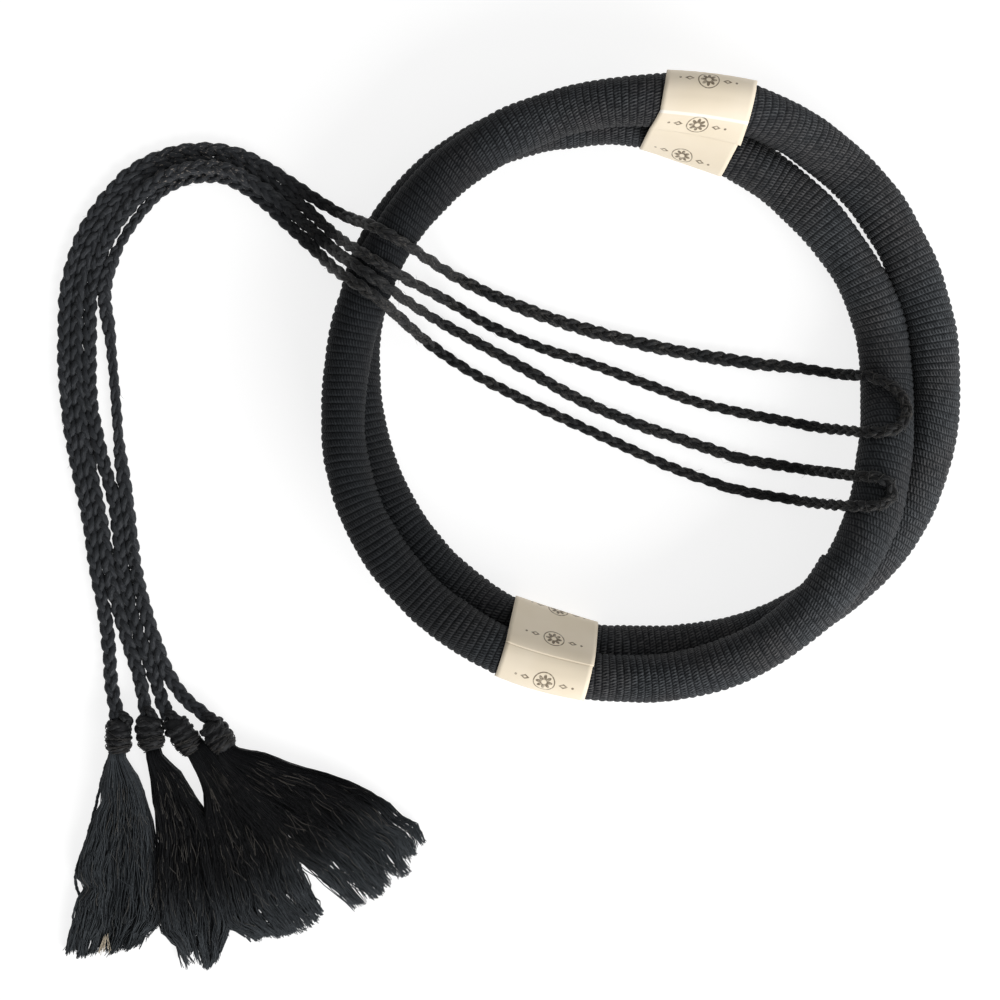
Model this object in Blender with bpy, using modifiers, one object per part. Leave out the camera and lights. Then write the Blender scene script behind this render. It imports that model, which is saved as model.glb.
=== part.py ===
# Head cord (igal): one closed, padded, knit-covered cord laid in two turns, two paper bands
# round both turns, and two long thin cords folded in half.  The folds are sewn to the crest of
# the head cord on its right side; the four runs cross the opening and the left side of the
# ring, turn down and end in four knots with four fringe tassels.
# Everything lies on a level surface at z = 0.  +Y is the far side, +X the right side, the
# origin is the middle of the ring on that surface.  Tables are in millimetres and degrees.
import math

import bmesh
import bpy
import numpy as np
from mathutils import Vector

MM = 0.001

# ---------------------------------------------------------------- driving dimensions
TURN_GAP = 0.6            # air between the two turns, as faceted tubes
CORD_THICKNESS = 3.4      # thin cord, as a plain tube
CORD_FLOOR = 1.8          # height of a thin cord's middle where it lies on the surface
CORD_GAP = 0.55           # air between a thin cord and the head cord under it
CORD_STEEP = 2.1          # steepest way down from the ring to the surface, rise over run
KNOT_HEIGHT = 4.9         # height of a knot's axis
KNOT_LEAD = 16.0          # run over which a thin cord rises to its knot
BUTT_GAP = 0.4            # air between a thin cord and its knot
SEWN_GAP = 0.6            # air between a free cord and the sewn fold that it runs into
BAND_WIDTH = 28.8
BAND_WALL = 0.5
BAND_GAP = 0.55           # air between a band and the cord inside it
BAND_LIFT = 1.1           # how far a band's underside raises the cord
FLAT_BELOW = 0.93         # where a band's outside turns under farther than this, it is flat

# Ring, seen from above, from the middle of the ring.  The cord runs clockwise: the first turn
# starts on the right at angle 0, and the second goes on from where the first one ends.
RING_CENTRE = (-0.1, 0.1)
BOX_MIDDLE = (0.03, 0.73) # middle of the ring with its bands in these tables
RING = (
    # angle, first reach, first thickness, second reach, second thickness
    (0, 81.3, 16.4, 98.6, 15.5),
    (345, 81.8, 17.4, 97.1, 17.2),
    (330, 85.2, 17.2, 96.1, 17.1),
    (315, 88.3, 16.1, 93.3, 16.9),
    (300, 91.1, 15.6, 90.9, 16.7),
    (285, 93.5, 15.5, 88.3, 16.5),
    (270, 94.9, 15.1, 87.1, 16.3),
    (255, 96.0, 15.0, 88.0, 16.2),
    (240, 97.9, 15.4, 89.2, 16.1),
    (225, 100.0, 15.1, 90.5, 15.9),
    (210, 101.3, 14.6, 92.1, 15.7),
    (195, 101.1, 14.0, 93.8, 15.6),
    (180, 98.7, 14.1, 95.7, 15.6),
    (165, 97.1, 15.1, 98.2, 15.6),
    (150, 96.4, 14.6, 100.4, 15.7),
    (135, 95.6, 15.1, 99.8, 15.9),
    (120, 94.7, 15.9, 97.4, 16.2),
    (105, 94.2, 14.8, 93.4, 16.4),
    (90, 93.6, 16.2, 90.3, 16.6),
    (75, 96.3, 16.1, 86.8, 16.6),
    (60, 98.9, 16.0, 83.8, 15.7),
    (45, 100.6, 16.8, 82.7, 16.1),
    (30, 99.8, 16.2, 82.4, 15.7),
    (15, 99.2, 15.9, 82.2, 16.4),
)
FIRST_ON_TOP_UNTIL = 315  # degrees of path for which the first turn lies on the second
TOP_AGAIN_FROM = 680      # where the second turn climbs to become the first one again

# Paper bands: where each sits on the ring, which way its edges point, and the slack it has.
BANDS = (
    # name, angle on the ring, half its angle there, direction of its edges, slack outside
    ("paper_band_1", 78.0, 13.0, 69.6, 0.7),
    ("paper_band_2", 250.5, 12.0, 257.8, 0.0),
)

# The run of the four thin cords from the knots (first row) to the right side of the opening:
# the middle of the run, how far each cord lies to its left, and how far cord 3 rides up on
# its neighbours where the run is squeezed round its bend.
RUN = (
    # x, y, cord 1, cord 2, cord 3, cord 4, ride of cord 3
    (-169.5, -95.5, 10.4, 0.7, -4.1, -8.4, 0.0),
    (-174.0, -77.0, 7.5, 2.2, -2.0, -6.5, 0.0),
    (-178.5, -58.0, 6.5, 2.1, -2.4, -6.7, 0.0),
    (-181.0, -38.5, 7.1, 3.0, -2.7, -6.8, 0.0),
    (-185.0, -20.0, 7.1, 3.0, -1.6, -8.2, 0.0),
    (-187.5, -1.0, 7.3, 3.2, -0.8, -9.2, 0.0),
    (-188.5, 18.0, 7.1, 2.9, -1.6, -8.5, 0.0),
    (-188.0, 37.0, 6.3, 2.2, -1.9, -6.2, 0.0),
    (-182.5, 53.0, 6.3, 2.2, -1.9, -6.4, 0.0),
    (-175.5, 63.5, 6.2, 2.2, -1.9, -6.2, 0.2),
    (-166.0, 72.5, 5.7, 1.6, -2.2, -5.6, 1.9),
    (-154.0, 77.0, 5.1, 0.8, -1.8, -4.2, 3.5),
    (-141.0, 77.0, 4.9, 0.6, -1.6, -4.0, 3.5),
    (-128.5, 71.0, 5.3, 1.1, -1.7, -4.4, 3.1),
    (-116.0, 62.0, 6.1, 1.9, -2.2, -6.2, 0.6),
    (-105.5, 53.0, 8.4, 1.4, -2.6, -6.8, 0.0),
    (-95.0, 44.0, 10.2, 1.0, -3.3, -8.1, 0.0),
    (-83.0, 36.5, 11.1, 1.2, -3.9, -9.0, 0.0),
    (-69.0, 29.0, 12.2, 3.3, -3.8, -11.7, 0.0),
    (-53.5, 20.0, 13.7, 3.7, -3.2, -13.3, 0.0),
    (-36.0, 12.0, 14.8, 3.9, -4.8, -14.6, 0.0),
    (-18.5, 4.5, 16.9, 5.5, -7.1, -15.3, 0.0),
    (-1.0, -2.0, 19.1, 5.6, -8.1, -16.7, 0.0),
    (18.0, -8.5, 21.9, 5.4, -8.2, -18.5, 0.0),
    (33.5, -12.5, 23.4, 5.7, -9.4, -19.9, 0.0),
)

# The two folds on the right: plan of each from its first cord round to its second one, and
# the stretch that is sewn down, which starts and ends past this x.
FOLDS = (
    # first cord, second cord, sewn past x, plan points
    (1, 2, 71.0, ((51.0, 8.7), (66.0, 6.3), (76.0, 3.8), (82.6, -0.4), (85.2, -7.0),
                  (81.8, -12.6), (74.0, -14.3), (65.0, -12.8), (51.0, -10.0))),
    (3, 4, 68.0, ((49.0, -24.9), (61.0, -27.0), (69.0, -28.6), (74.6, -29.3), (78.0, -31.5),
                  (78.2, -35.3), (74.8, -37.8), (69.0, -38.3), (61.0, -37.8), (49.0, -35.8))),
)

# Knots: where the cord enters and leaves each one, its full thickness, and the way its cord
# comes to it.
KNOTS = (
    # entry x, entry y, exit x, exit y, thickness, cord x, cord y
    (-177.3, -110.5, -177.3, -122.0, 9.3, -178.6, -102.6),
    (-166.9, -109.8, -164.8, -121.5, 9.7, -168.6, -102.2),
    (-159.2, -109.6, -150.9, -121.1, 9.4, -162.8, -102.0),
    (-146.3, -110.7, -139.7, -120.6, 9.6, -153.0, -104.9),
)
KNOT_PROFILE = (
    # fraction of the length, fraction of the half thickness
    (0.00, 0.46), (0.07, 0.60), (0.24, 0.86), (0.42, 1.00), (0.56, 0.90),
    (0.70, 0.96), (0.85, 0.90), (0.95, 0.74), (1.00, 0.64),
)

# Tassels: outer form of each fringe, from its neck to its cut end.
TASSELS = (
    # left x, left y, right x, right y, lowest, highest
    ((-179.6, -123.0, -174.5, -123.0, 1.6, 8.2),
     (-181.4, -129.1, -170.6, -129.1, 0.1, 8.4),
     (-183.3, -137.6, -167.3, -137.6, 0.1, 8.2),
     (-186.1, -147.8, -165.0, -147.1, 0.1, 7.6),
     (-189.9, -158.7, -163.9, -158.7, 0.1, 6.8),
     (-191.5, -169.9, -163.6, -169.9, 0.1, 6.0),
     (-193.5, -180.2, -165.4, -179.9, 0.1, 5.0),
     (-195.6, -189.4, -168.6, -186.8, 0.1, 3.6)),
    ((-166.9, -122.6, -162.2, -121.8, 1.6, 8.2),
     (-165.9, -129.1, -156.6, -127.4, 0.1, 8.6),
     (-165.0, -137.6, -151.7, -134.9, 0.1, 8.6),
     (-163.6, -149.4, -147.7, -143.0, 0.1, 8.2),
     (-163.0, -161.3, -144.9, -154.5, 0.1, 7.6),
     (-162.4, -171.6, -142.4, -168.2, 0.1, 6.6),
     (-160.0, -181.9, -140.4, -180.2, 0.1, 5.2),
     (-156.0, -192.0, -141.6, -188.8, 0.1, 3.8)),
    ((-152.5, -123.1, -148.6, -120.1, 1.6, 8.2),
     (-149.8, -129.1, -143.9, -125.3, 0.1, 8.8),
     (-147.6, -136.7, -137.9, -131.2, 0.1, 9.2),
     (-145.9, -146.4, -130.9, -139.4, 0.1, 9.0),
     (-143.3, -157.6, -124.4, -148.0, 0.1, 8.4),
     (-141.0, -169.6, -118.7, -157.4, 0.1, 7.2),
     (-138.0, -181.2, -112.6, -168.4, 0.1, 5.6),
     (-133.4, -186.2, -108.4, -174.8, 0.1, 3.8)),
    ((-141.5, -122.2, -137.2, -119.6, 1.6, 8.2),
     (-138.0, -127.2, -128.2, -121.4, 0.1, 8.6),
     (-133.7, -133.2, -117.1, -125.1, 0.1, 8.8),
     (-127.7, -140.4, -105.3, -127.8, 0.1, 8.6),
     (-120.7, -149.6, -94.5, -131.9, 0.1, 8.0),
     (-113.6, -158.6, -84.4, -138.4, 0.1, 7.0),
     (-106.0, -167.4, -76.1, -145.6, 0.1, 5.4),
     (-99.6, -174.2, -72.8, -151.4, 0.1, 3.8)),
)
TASSEL_SIDES = 14

BLACK_KNIT = (0.020, 0.020, 0.024)
BLACK_BRAID = (0.022, 0.021, 0.023)
BLACK_THREAD = (0.024, 0.023, 0.024)
BLACK_FRINGE = (0.026, 0.024, 0.025)
CREAM_PAPER = (0.80, 0.71, 0.58)


# ---------------------------------------------------------------- smooth curves
def smooth(known, points, wanted):
    """Cubic curve through the points at the known distances, read at the wanted ones."""
    points = np.asarray(points, float).reshape(len(known), -1)
    known = np.asarray(known, float)
    slope = np.gradient(points, known, axis=0)
    i = np.clip(np.searchsorted(known, wanted, side="right") - 1, 0, len(known) - 2)
    h = (known[i + 1] - known[i])[:, None]
    f = ((wanted - known[i]) / (known[i + 1] - known[i]))[:, None]
    return ((2 * f**3 - 3 * f**2 + 1) * points[i] + (f**3 - 2 * f**2 + f) * h * slope[i]
            + (3 * f**2 - 2 * f**3) * points[i + 1] + (f**3 - f**2) * h * slope[i + 1])


def distances(points):
    """Distance along a row of points, from the first."""
    return np.concatenate([[0.0], np.cumsum(np.linalg.norm(np.diff(points, axis=0), axis=1))])


def even(points, step):
    """The smooth curve through the points, read at even steps."""
    known = distances(points)
    fine = smooth(known, points, np.linspace(0, known[-1], 6000))
    length = distances(fine)
    count = max(2, int(round(length[-1] / step)) + 1)
    at = np.linspace(0, length[-1], count)
    return np.stack([np.interp(at, length, fine[:, k]) for k in range(fine.shape[1])], 1)


def ease(x):
    x = np.clip(x, 0.0, 1.0)
    return x * x * (3 - 2 * x)


# ---------------------------------------------------------------- head cord
def ring_column(column, path):
    """A column of the ring table along the path, which closes after two turns."""
    values = [row[1 + column] for row in RING] + [row[3 + column] for row in RING]
    values = np.array(values[-3:] + values + values[:4], float)
    known = np.arange(-3, len(values) - 3) * 15.0
    return smooth(known, values, np.asarray(path, float))[:, 0]


def band_lift(path):
    """Height that the paper under the lower turn takes up."""
    lift = np.zeros(len(path))
    for _, centre, half, _, _ in BANDS:
        away = np.abs((-path - centre + 180) % 360 - 180)
        lift = np.maximum(lift, BAND_LIFT * ease((half + 10 - away) / 9))
    return lift


def ring_line(step=2.5):
    """Middle line of the head cord and its radius, over both turns."""
    path = np.arange(0, 720, step)
    turn = len(path) // 2
    reach = ring_column(0, path)
    radius = ring_column(1, path) / 2
    low = radius + band_lift(path)
    # the upper turn rests on the lower one, nearer or farther from the middle than it
    together = radius + np.roll(radius, turn) + TURN_GAP
    apart = reach - np.roll(reach, turn)
    rise = np.sqrt(np.maximum(0, together**2 - apart**2))
    on_top = (path <= FIRST_ON_TOP_UNTIL) | (path >= TOP_AGAIN_FROM)
    need = np.where(on_top & (rise > 0), np.roll(low, turn) + rise, low)
    need = np.maximum(need, low)
    high = np.maximum(np.maximum(np.roll(need, 1), need), np.roll(need, -1))
    for _ in range(2):
        high = sum(weight * np.roll(high, shift)
                   for shift, weight in zip(range(-2, 3), (1 / 9, 2 / 9, 3 / 9, 2 / 9, 1 / 9)))
    height = np.where(on_top, np.maximum(high, need), low)
    angle = np.radians(-path)
    middle = np.stack([RING_CENTRE[0] + reach * np.cos(angle),
                       RING_CENTRE[1] + reach * np.sin(angle), height], 1)
    return middle, radius


RING_MIDDLE, RING_RADIUS = ring_line()


def ring_fine(parts=4):
    """Middle line and radius of the head cord at close steps."""
    following, wider = np.roll(RING_MIDDLE, -1, 0), np.roll(RING_RADIUS, -1)
    middle, radius = [], []
    for k in range(parts):
        f = k / parts
        middle.append(RING_MIDDLE * (1 - f) + following * f)
        radius.append(RING_RADIUS * (1 - f) + wider * f)
    return np.concatenate(middle), np.concatenate(radius)


RING_FINE, RING_FINE_RADIUS = ring_fine()


# ---------------------------------------------------------------- thin cords
def height_over_ring(plan):
    """Lowest height at which a thin cord's middle clears the head cord."""
    reach = RING_FINE_RADIUS + CORD_THICKNESS / 2 + CORD_GAP
    away = np.linalg.norm(plan[:, None] - RING_FINE[None, :, :2], axis=2)
    over = RING_FINE[:, 2] + np.sqrt(np.maximum(0, reach**2 - away**2))
    return np.where(away < reach, over, CORD_FLOOR).max(1)


def drape(plan, ride, knots):
    """Heights along a plan line at 1 mm steps: on the surface, or laid over the ring."""
    run = distances(plan)
    lead = KNOT_HEIGHT - CORD_FLOOR
    ends = CORD_FLOOR + lead * np.maximum(ease(1 - run / KNOT_LEAD) * knots[0],
                                          ease(1 - (run[-1] - run) / KNOT_LEAD) * knots[1])
    least = np.maximum(height_over_ring(plan), CORD_FLOOR)
    least = np.maximum(least, ends) + ride
    far = np.abs(run[:, None] - run[None])
    height = (least[None] - CORD_STEEP * far).max(1)
    height = np.maximum(height, least)
    window = np.hanning(11)
    window /= window.sum()
    for _ in range(4):
        padded = np.concatenate([[height[0]] * 5, height, [height[-1]] * 5])
        height = np.maximum(np.convolve(padded, window, "valid"), least)
    return height


def run_plan(cord):
    """Plan of one cord along the run, from its knot to the right, with cord 3's ride."""
    rows = np.array(RUN)
    known = distances(rows[:, :2])
    at = np.linspace(0, known[-1], 3 * (len(rows) - 1) + 1)
    middle = smooth(known, rows[:, :2], at)
    along = np.gradient(middle, at, axis=0)
    along /= np.linalg.norm(along, axis=1)[:, None]
    left = np.stack([-along[:, 1], along[:, 0]], 1)
    aside = smooth(known, rows[:, 1 + cord], at)
    ride = smooth(known, rows[:, 6], at)[:, 0] if cord == 3 else np.zeros(len(at))
    return middle + left * aside, np.maximum(ride, 0)


def chain(fold):
    """One long cord from its first knot, over its fold, to its second knot."""
    first, second, sewn_past, bend = fold
    out, out_ride = run_plan(first)
    back, back_ride = run_plan(second)
    ends = []
    for cord in (first, second):
        knot = KNOTS[cord - 1]
        way = np.array(knot[:2]) - np.array(knot[2:4])
        way /= np.linalg.norm(way)
        entry = np.array(knot[:2])
        ends.append([entry + way * BUTT_GAP, entry + way * (BUTT_GAP + 1.6), np.array(knot[5:7])])
    plan = np.concatenate([ends[0], out, np.array(bend), back[::-1], ends[1][::-1]])
    ride = np.concatenate([np.zeros(3), out_ride, np.zeros(len(bend)), back_ride[::-1], np.zeros(3)])
    fine = even(np.column_stack([plan, ride]), 1.0)
    height = drape(fine[:, :2], fine[:, 2], (1, 1))
    line = np.column_stack([fine[:, :2], height])
    # the sewn stretch lies past the given x
    over = np.nonzero(line[:, 0] > sewn_past)[0]
    return line, over[0], over[-1]


def thin_out(line):
    """Points of a plain tube: close over the ring, farther apart where the cord lies flat."""
    run = distances(line)
    close = np.where(line[:, 2] > 4.5, 1 / 4.0, 1 / 8.6)
    window = np.ones(9) / 9
    close = np.convolve(np.concatenate([[close[0]] * 4, close, [close[-1]] * 4]), window, "valid")
    count = np.concatenate([[0], np.cumsum((close[1:] + close[:-1]) / 2 * np.diff(run))])
    at = np.interp(np.linspace(0, count[-1], int(round(count[-1])) + 1), count, run)
    # a short first and last piece, so that an end faces squarely along the cord
    at = np.concatenate([[0.0, 1.0], at[1:-1], [run[-1] - 1.0, run[-1]]])
    return np.stack([np.interp(at, run, line[:, k]) for k in range(3)], 1)


def cord_lines():
    """Middle lines of the four free cords, knot end first, and of the two sewn folds."""
    free, sewn = {}, {}
    for number, fold in enumerate(FOLDS, 1):
        line, start, stop = chain(fold)
        free[fold[0]] = line[:start + 1]
        free[fold[1]] = line[stop:][::-1]
        middle = line[start:stop + 1].copy()
        # leave the air between the ends that meet
        run = distances(middle)
        at = np.concatenate([[SEWN_GAP], run[1:-1], [run[-1] - SEWN_GAP]])
        sewn[number] = np.stack([np.interp(at, run, middle[:, k]) for k in range(3)], 1)
    return free, sewn


# ---------------------------------------------------------------- objects
def clear_scene():
    for item in list(bpy.data.objects):
        bpy.data.objects.remove(item, do_unlink=True)


def material(name, colour, roughness):
    made = bpy.data.materials.new(name)
    made.use_nodes = True
    shader = made.node_tree.nodes["Principled BSDF"]
    shader.inputs["Base Color"].default_value = (*colour, 1.0)
    shader.inputs["Roughness"].default_value = roughness
    shader.inputs["Metallic"].default_value = 0.0
    made.diffuse_color = (*colour, 1.0)
    return made


def place(item, collection, parent):
    collection.objects.link(item)
    item.parent = parent
    return item


def tube(name, points, thickness, sides, collection, parent, finish, radii=None, closed=False):
    """A round tube along a row of points (mm); sides is 2n + 4 for bevel resolution n."""
    curve = bpy.data.curves.new(name, "CURVE")
    curve.dimensions = "3D"
    curve.bevel_mode = "ROUND"
    curve.bevel_depth = thickness / 2 * MM
    curve.bevel_resolution = (sides - 4) // 2
    curve.use_fill_caps = not closed
    curve.twist_mode = "MINIMUM"
    spline = curve.splines.new("POLY")
    spline.points.add(len(points) - 1)
    for k, point in enumerate(points):
        spline.points[k].co = (*(float(v) * MM for v in point), 1.0)
        if radii is not None:
            spline.points[k].radius = float(radii[k]) / (thickness / 2)
    spline.use_cyclic_u = closed
    spline.use_smooth = True
    curve.materials.append(finish)
    return place(bpy.data.objects.new(name, curve), collection, parent)


def turned_knot(name, row, collection, parent, finish):
    """A knot turned about its own axis, which lies level along the cord."""
    entry, leave = Vector((*row[:2], KNOT_HEIGHT)) * MM, Vector((*row[2:4], KNOT_HEIGHT)) * MM
    length = (leave - entry).length
    half = row[4] / 2 * MM
    mesh = bpy.data.meshes.new(name)
    outline = [(0.0, length)]
    outline += [(share * half, length * (1 - along)) for along, share in KNOT_PROFILE]
    outline += [(0.0, 0.0)]
    mesh.from_pydata([(x, 0.0, z) for x, z in outline], [(k, k + 1) for k in range(len(outline) - 1)], [])
    mesh.materials.append(finish)
    item = place(bpy.data.objects.new(name, mesh), collection, parent)
    screw = item.modifiers.new("turn", "SCREW")
    screw.axis = "Z"
    screw.steps = screw.render_steps = 14
    screw.use_merge_vertices = True
    screw.merge_threshold = 0.00001
    screw.use_smooth_shade = True
    item.location = leave
    item.rotation_mode = "QUATERNION"
    item.rotation_quaternion = (entry - leave).to_track_quat("Z", "Y")
    return item


def lofted(name, sections, collection, parent, finish, hollow=False):
    """A closed solid through rings of equal count.  Hollow: each section is an outer ring
    and an inner one, and the ends are joined between them."""
    form = bmesh.new()
    rings = [[form.verts.new(Vector([float(v) * MM for v in point])) for point in ring]
             for ring in sections]
    count = len(rings[0])
    pairs = list(zip(rings[:-1], rings[1:]))
    if hollow:
        pairs.append((rings[-1], rings[0]))
    for one, two in pairs:
        for k in range(count):
            form.faces.new((one[k], one[(k + 1) % count], two[(k + 1) % count], two[k]))
    if not hollow:
        form.faces.new(list(reversed(rings[0])))
        form.faces.new(rings[-1])
    bmesh.ops.recalc_face_normals(form, faces=form.faces)
    mesh = bpy.data.meshes.new(name)
    form.to_mesh(mesh)
    form.free()
    mesh.shade_smooth()
    mesh.set_sharp_from_angle(angle=math.radians(40))
    mesh.materials.append(finish)
    return place(bpy.data.objects.new(name, mesh), collection, parent)


def fringe_sections(rows):
    """Flattened round sections of a tassel, from its table."""
    sections = []
    for left_x, left_y, right_x, right_y, low, high in rows:
        middle = np.array([(left_x + right_x) / 2, (left_y + right_y) / 2, (low + high) / 2])
        across = np.array([(right_x - left_x) / 2, (right_y - left_y) / 2, 0.0])
        up = np.array([0.0, 0.0, (high - low) / 2])
        ring = []
        for k in range(TASSEL_SIDES):
            turn = 2 * math.pi * (k + 0.5) / TASSEL_SIDES
            c, s = math.cos(turn), math.sin(turn)
            squarer = 1 / (abs(c) ** 2.6 + abs(s) ** 2.6) ** (1 / 2.6)
            ring.append(middle + across * (c * squarer) + up * (s * squarer))
        sections.append(ring)
    return sections


def crossings(plane_point, plane_way):
    """Where the two turns cross an upright plane on its near half: middle, half width, radius."""
    found = []
    side = (RING_MIDDLE[:, :2] - plane_point) @ plane_way
    for k in range(len(side)):
        n = (k + 1) % len(side)
        if side[k] * side[n] > 0:
            continue
        f = side[k] / (side[k] - side[n])
        middle = RING_MIDDLE[k] * (1 - f) + RING_MIDDLE[n] * f
        if np.linalg.norm(middle[:2] - plane_point) > 60:
            continue
        along = RING_MIDDLE[n] - RING_MIDDLE[k]
        along /= np.linalg.norm(along)
        radius = RING_RADIUS[k] * (1 - f) + RING_RADIUS[n] * f
        found.append((middle, radius / abs(along[:2] @ plane_way), radius))
    return found


def band_sections(centre_angle, edge_way, slack):
    """Sections of a paper band drawn round both turns: outer rings, then inner ones."""
    on_ring = math.radians(centre_angle)
    out = np.array([math.cos(math.radians(edge_way)), math.sin(math.radians(edge_way))])
    across = np.array([-out[1], out[0]])
    middle = np.array(RING_CENTRE) + 95.0 * np.array([math.cos(on_ring), math.sin(on_ring)])
    outer, inner = [], []
    for share in (-0.5, -0.25, 0.0, 0.25, 0.5):
        point = middle + across * (share * BAND_WIDTH)
        turns = crossings(point, across)
        rings = {BAND_GAP: [], BAND_GAP + BAND_WALL: []}
        for k in range(40):
            turn = 2 * math.pi * k / 40
            c, s = math.cos(turn), math.sin(turn)
            best = None
            for centre, wide, radius in turns:
                spread = math.hypot(wide * c, radius * s)
                mid = (centre[:2] - point) @ out
                support = mid * c + centre[2] * s + spread
                if best is None or support > best[0]:
                    best = (support, mid + wide * wide * c / spread, centre[2] + radius * radius * s / spread)
            for offset, ring in rings.items():
                loose = slack * max(c, 0.0)
                u = best[1] + (offset + loose) * c
                height = best[2] + (offset + loose) * s
                if s < -FLAT_BELOW and offset > BAND_GAP:
                    height = BAND_LIFT - offset      # the paper lies flat on the surface
                ring.append((*(point + out * u), height))
        outer.append(rings[BAND_GAP + BAND_WALL])
        inner.append(rings[BAND_GAP])
    return outer + inner[::-1]


def build():
    clear_scene()
    collection = bpy.data.collections.new("igal_head_cord")
    bpy.context.scene.collection.children.link(collection)
    base = bpy.data.objects.new("igal_head_cord_base", None)
    collection.objects.link(base)
    # the middle of the ring with its bands comes to the origin
    base.location = (-BOX_MIDDLE[0] * MM, -BOX_MIDDLE[1] * MM, 0.0)

    black_knit = material("black_knit", BLACK_KNIT, 0.85)
    tube("head_cord", RING_MIDDLE[::2], 16.0, 14, collection, base, black_knit,
         radii=RING_RADIUS[::2], closed=True)

    for name, angle, _, edge_way, slack in BANDS:
        paper = material(name, CREAM_PAPER, 0.6)
        lofted(name, band_sections(angle, edge_way, slack), collection, base, paper, hollow=True)

    free, sewn = cord_lines()
    for number, line in sewn.items():
        braid = material("sewn_loop_%d" % number, BLACK_BRAID, 0.8)
        tube("sewn_loop_%d" % number, thin_out(line), CORD_THICKNESS, 8, collection, base, braid)
    for number, line in sorted(free.items()):
        braid = material("tassel_cord_%d" % number, BLACK_BRAID, 0.8)
        tube("tassel_cord_%d" % number, thin_out(line), CORD_THICKNESS, 8, collection, base, braid)
        thread = material("knot_%d" % number, BLACK_THREAD, 0.8)
        turned_knot("knot_%d" % number, KNOTS[number - 1], collection, base, thread)
        fringe = material("tassel_%d" % number, BLACK_FRINGE, 0.85)
        lofted("tassel_%d" % number, fringe_sections(TASSELS[number - 1]), collection, base, fringe)


build()
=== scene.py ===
import math

import bpy
import numpy as np
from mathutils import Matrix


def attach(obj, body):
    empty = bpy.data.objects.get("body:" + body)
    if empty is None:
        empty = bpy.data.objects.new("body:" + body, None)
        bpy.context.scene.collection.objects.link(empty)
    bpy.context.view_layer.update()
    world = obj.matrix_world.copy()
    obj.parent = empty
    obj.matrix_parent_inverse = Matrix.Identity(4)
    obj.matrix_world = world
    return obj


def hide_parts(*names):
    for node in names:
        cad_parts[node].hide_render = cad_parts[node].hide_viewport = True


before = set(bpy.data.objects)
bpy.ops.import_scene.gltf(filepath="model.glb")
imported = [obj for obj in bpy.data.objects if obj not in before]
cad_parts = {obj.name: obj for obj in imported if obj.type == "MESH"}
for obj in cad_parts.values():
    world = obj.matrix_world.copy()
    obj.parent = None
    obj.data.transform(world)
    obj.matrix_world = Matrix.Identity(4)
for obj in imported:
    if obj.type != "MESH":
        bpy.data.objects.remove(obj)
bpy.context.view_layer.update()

# ---------------------------------------------------------------- the frame's dimensions
TURN_GAP = 0.6
CORD_THICKNESS = 3.4
CORD_FLOOR = 1.8
CORD_GAP = 0.55
CORD_STEEP = 2.1
KNOT_HEIGHT = 4.9
KNOT_LEAD = 16.0
BUTT_GAP = 0.4
BAND_WIDTH = 28.8
BAND_GAP = 0.55
BAND_LIFT = 1.1
PAPER = 0.06
FLAT_BELOW = 0.93
RING_CENTRE = (-0.1, 0.1)
BOX_MIDDLE = (0.03, 0.73)

RING = (
    # angle, first reach, first thickness, second reach, second thickness
    (0, 81.3, 16.4, 98.6, 15.5),
    (345, 81.8, 17.4, 97.1, 17.2),
    (330, 85.2, 17.2, 96.1, 17.1),
    (315, 88.3, 16.1, 93.3, 16.9),
    (300, 91.1, 15.6, 90.9, 16.7),
    (285, 93.5, 15.5, 88.3, 16.5),
    (270, 94.9, 15.1, 87.1, 16.3),
    (255, 96.0, 15.0, 88.0, 16.2),
    (240, 97.9, 15.4, 89.2, 16.1),
    (225, 100.0, 15.1, 90.5, 15.9),
    (210, 101.3, 14.6, 92.1, 15.7),
    (195, 101.1, 14.0, 93.8, 15.6),
    (180, 98.7, 14.1, 95.7, 15.6),
    (165, 97.1, 15.1, 98.2, 15.6),
    (150, 96.4, 14.6, 100.4, 15.7),
    (135, 95.6, 15.1, 99.8, 15.9),
    (120, 94.7, 15.9, 97.4, 16.2),
    (105, 94.2, 14.8, 93.4, 16.4),
    (90, 93.6, 16.2, 90.3, 16.6),
    (75, 96.3, 16.1, 86.8, 16.6),
    (60, 98.9, 16.0, 83.8, 15.7),
    (45, 100.6, 16.8, 82.7, 16.1),
    (30, 99.8, 16.2, 82.4, 15.7),
    (15, 99.2, 15.9, 82.2, 16.4),
)
FIRST_ON_TOP_UNTIL = 315
TOP_AGAIN_FROM = 680

BANDS = (
    # name, angle on the ring, half its angle there, direction of its edges, slack outside
    ("paper_band_1", 78.0, 13.0, 69.6, 0.7),
    ("paper_band_2", 250.5, 12.0, 257.8, 0.0),
)

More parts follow.
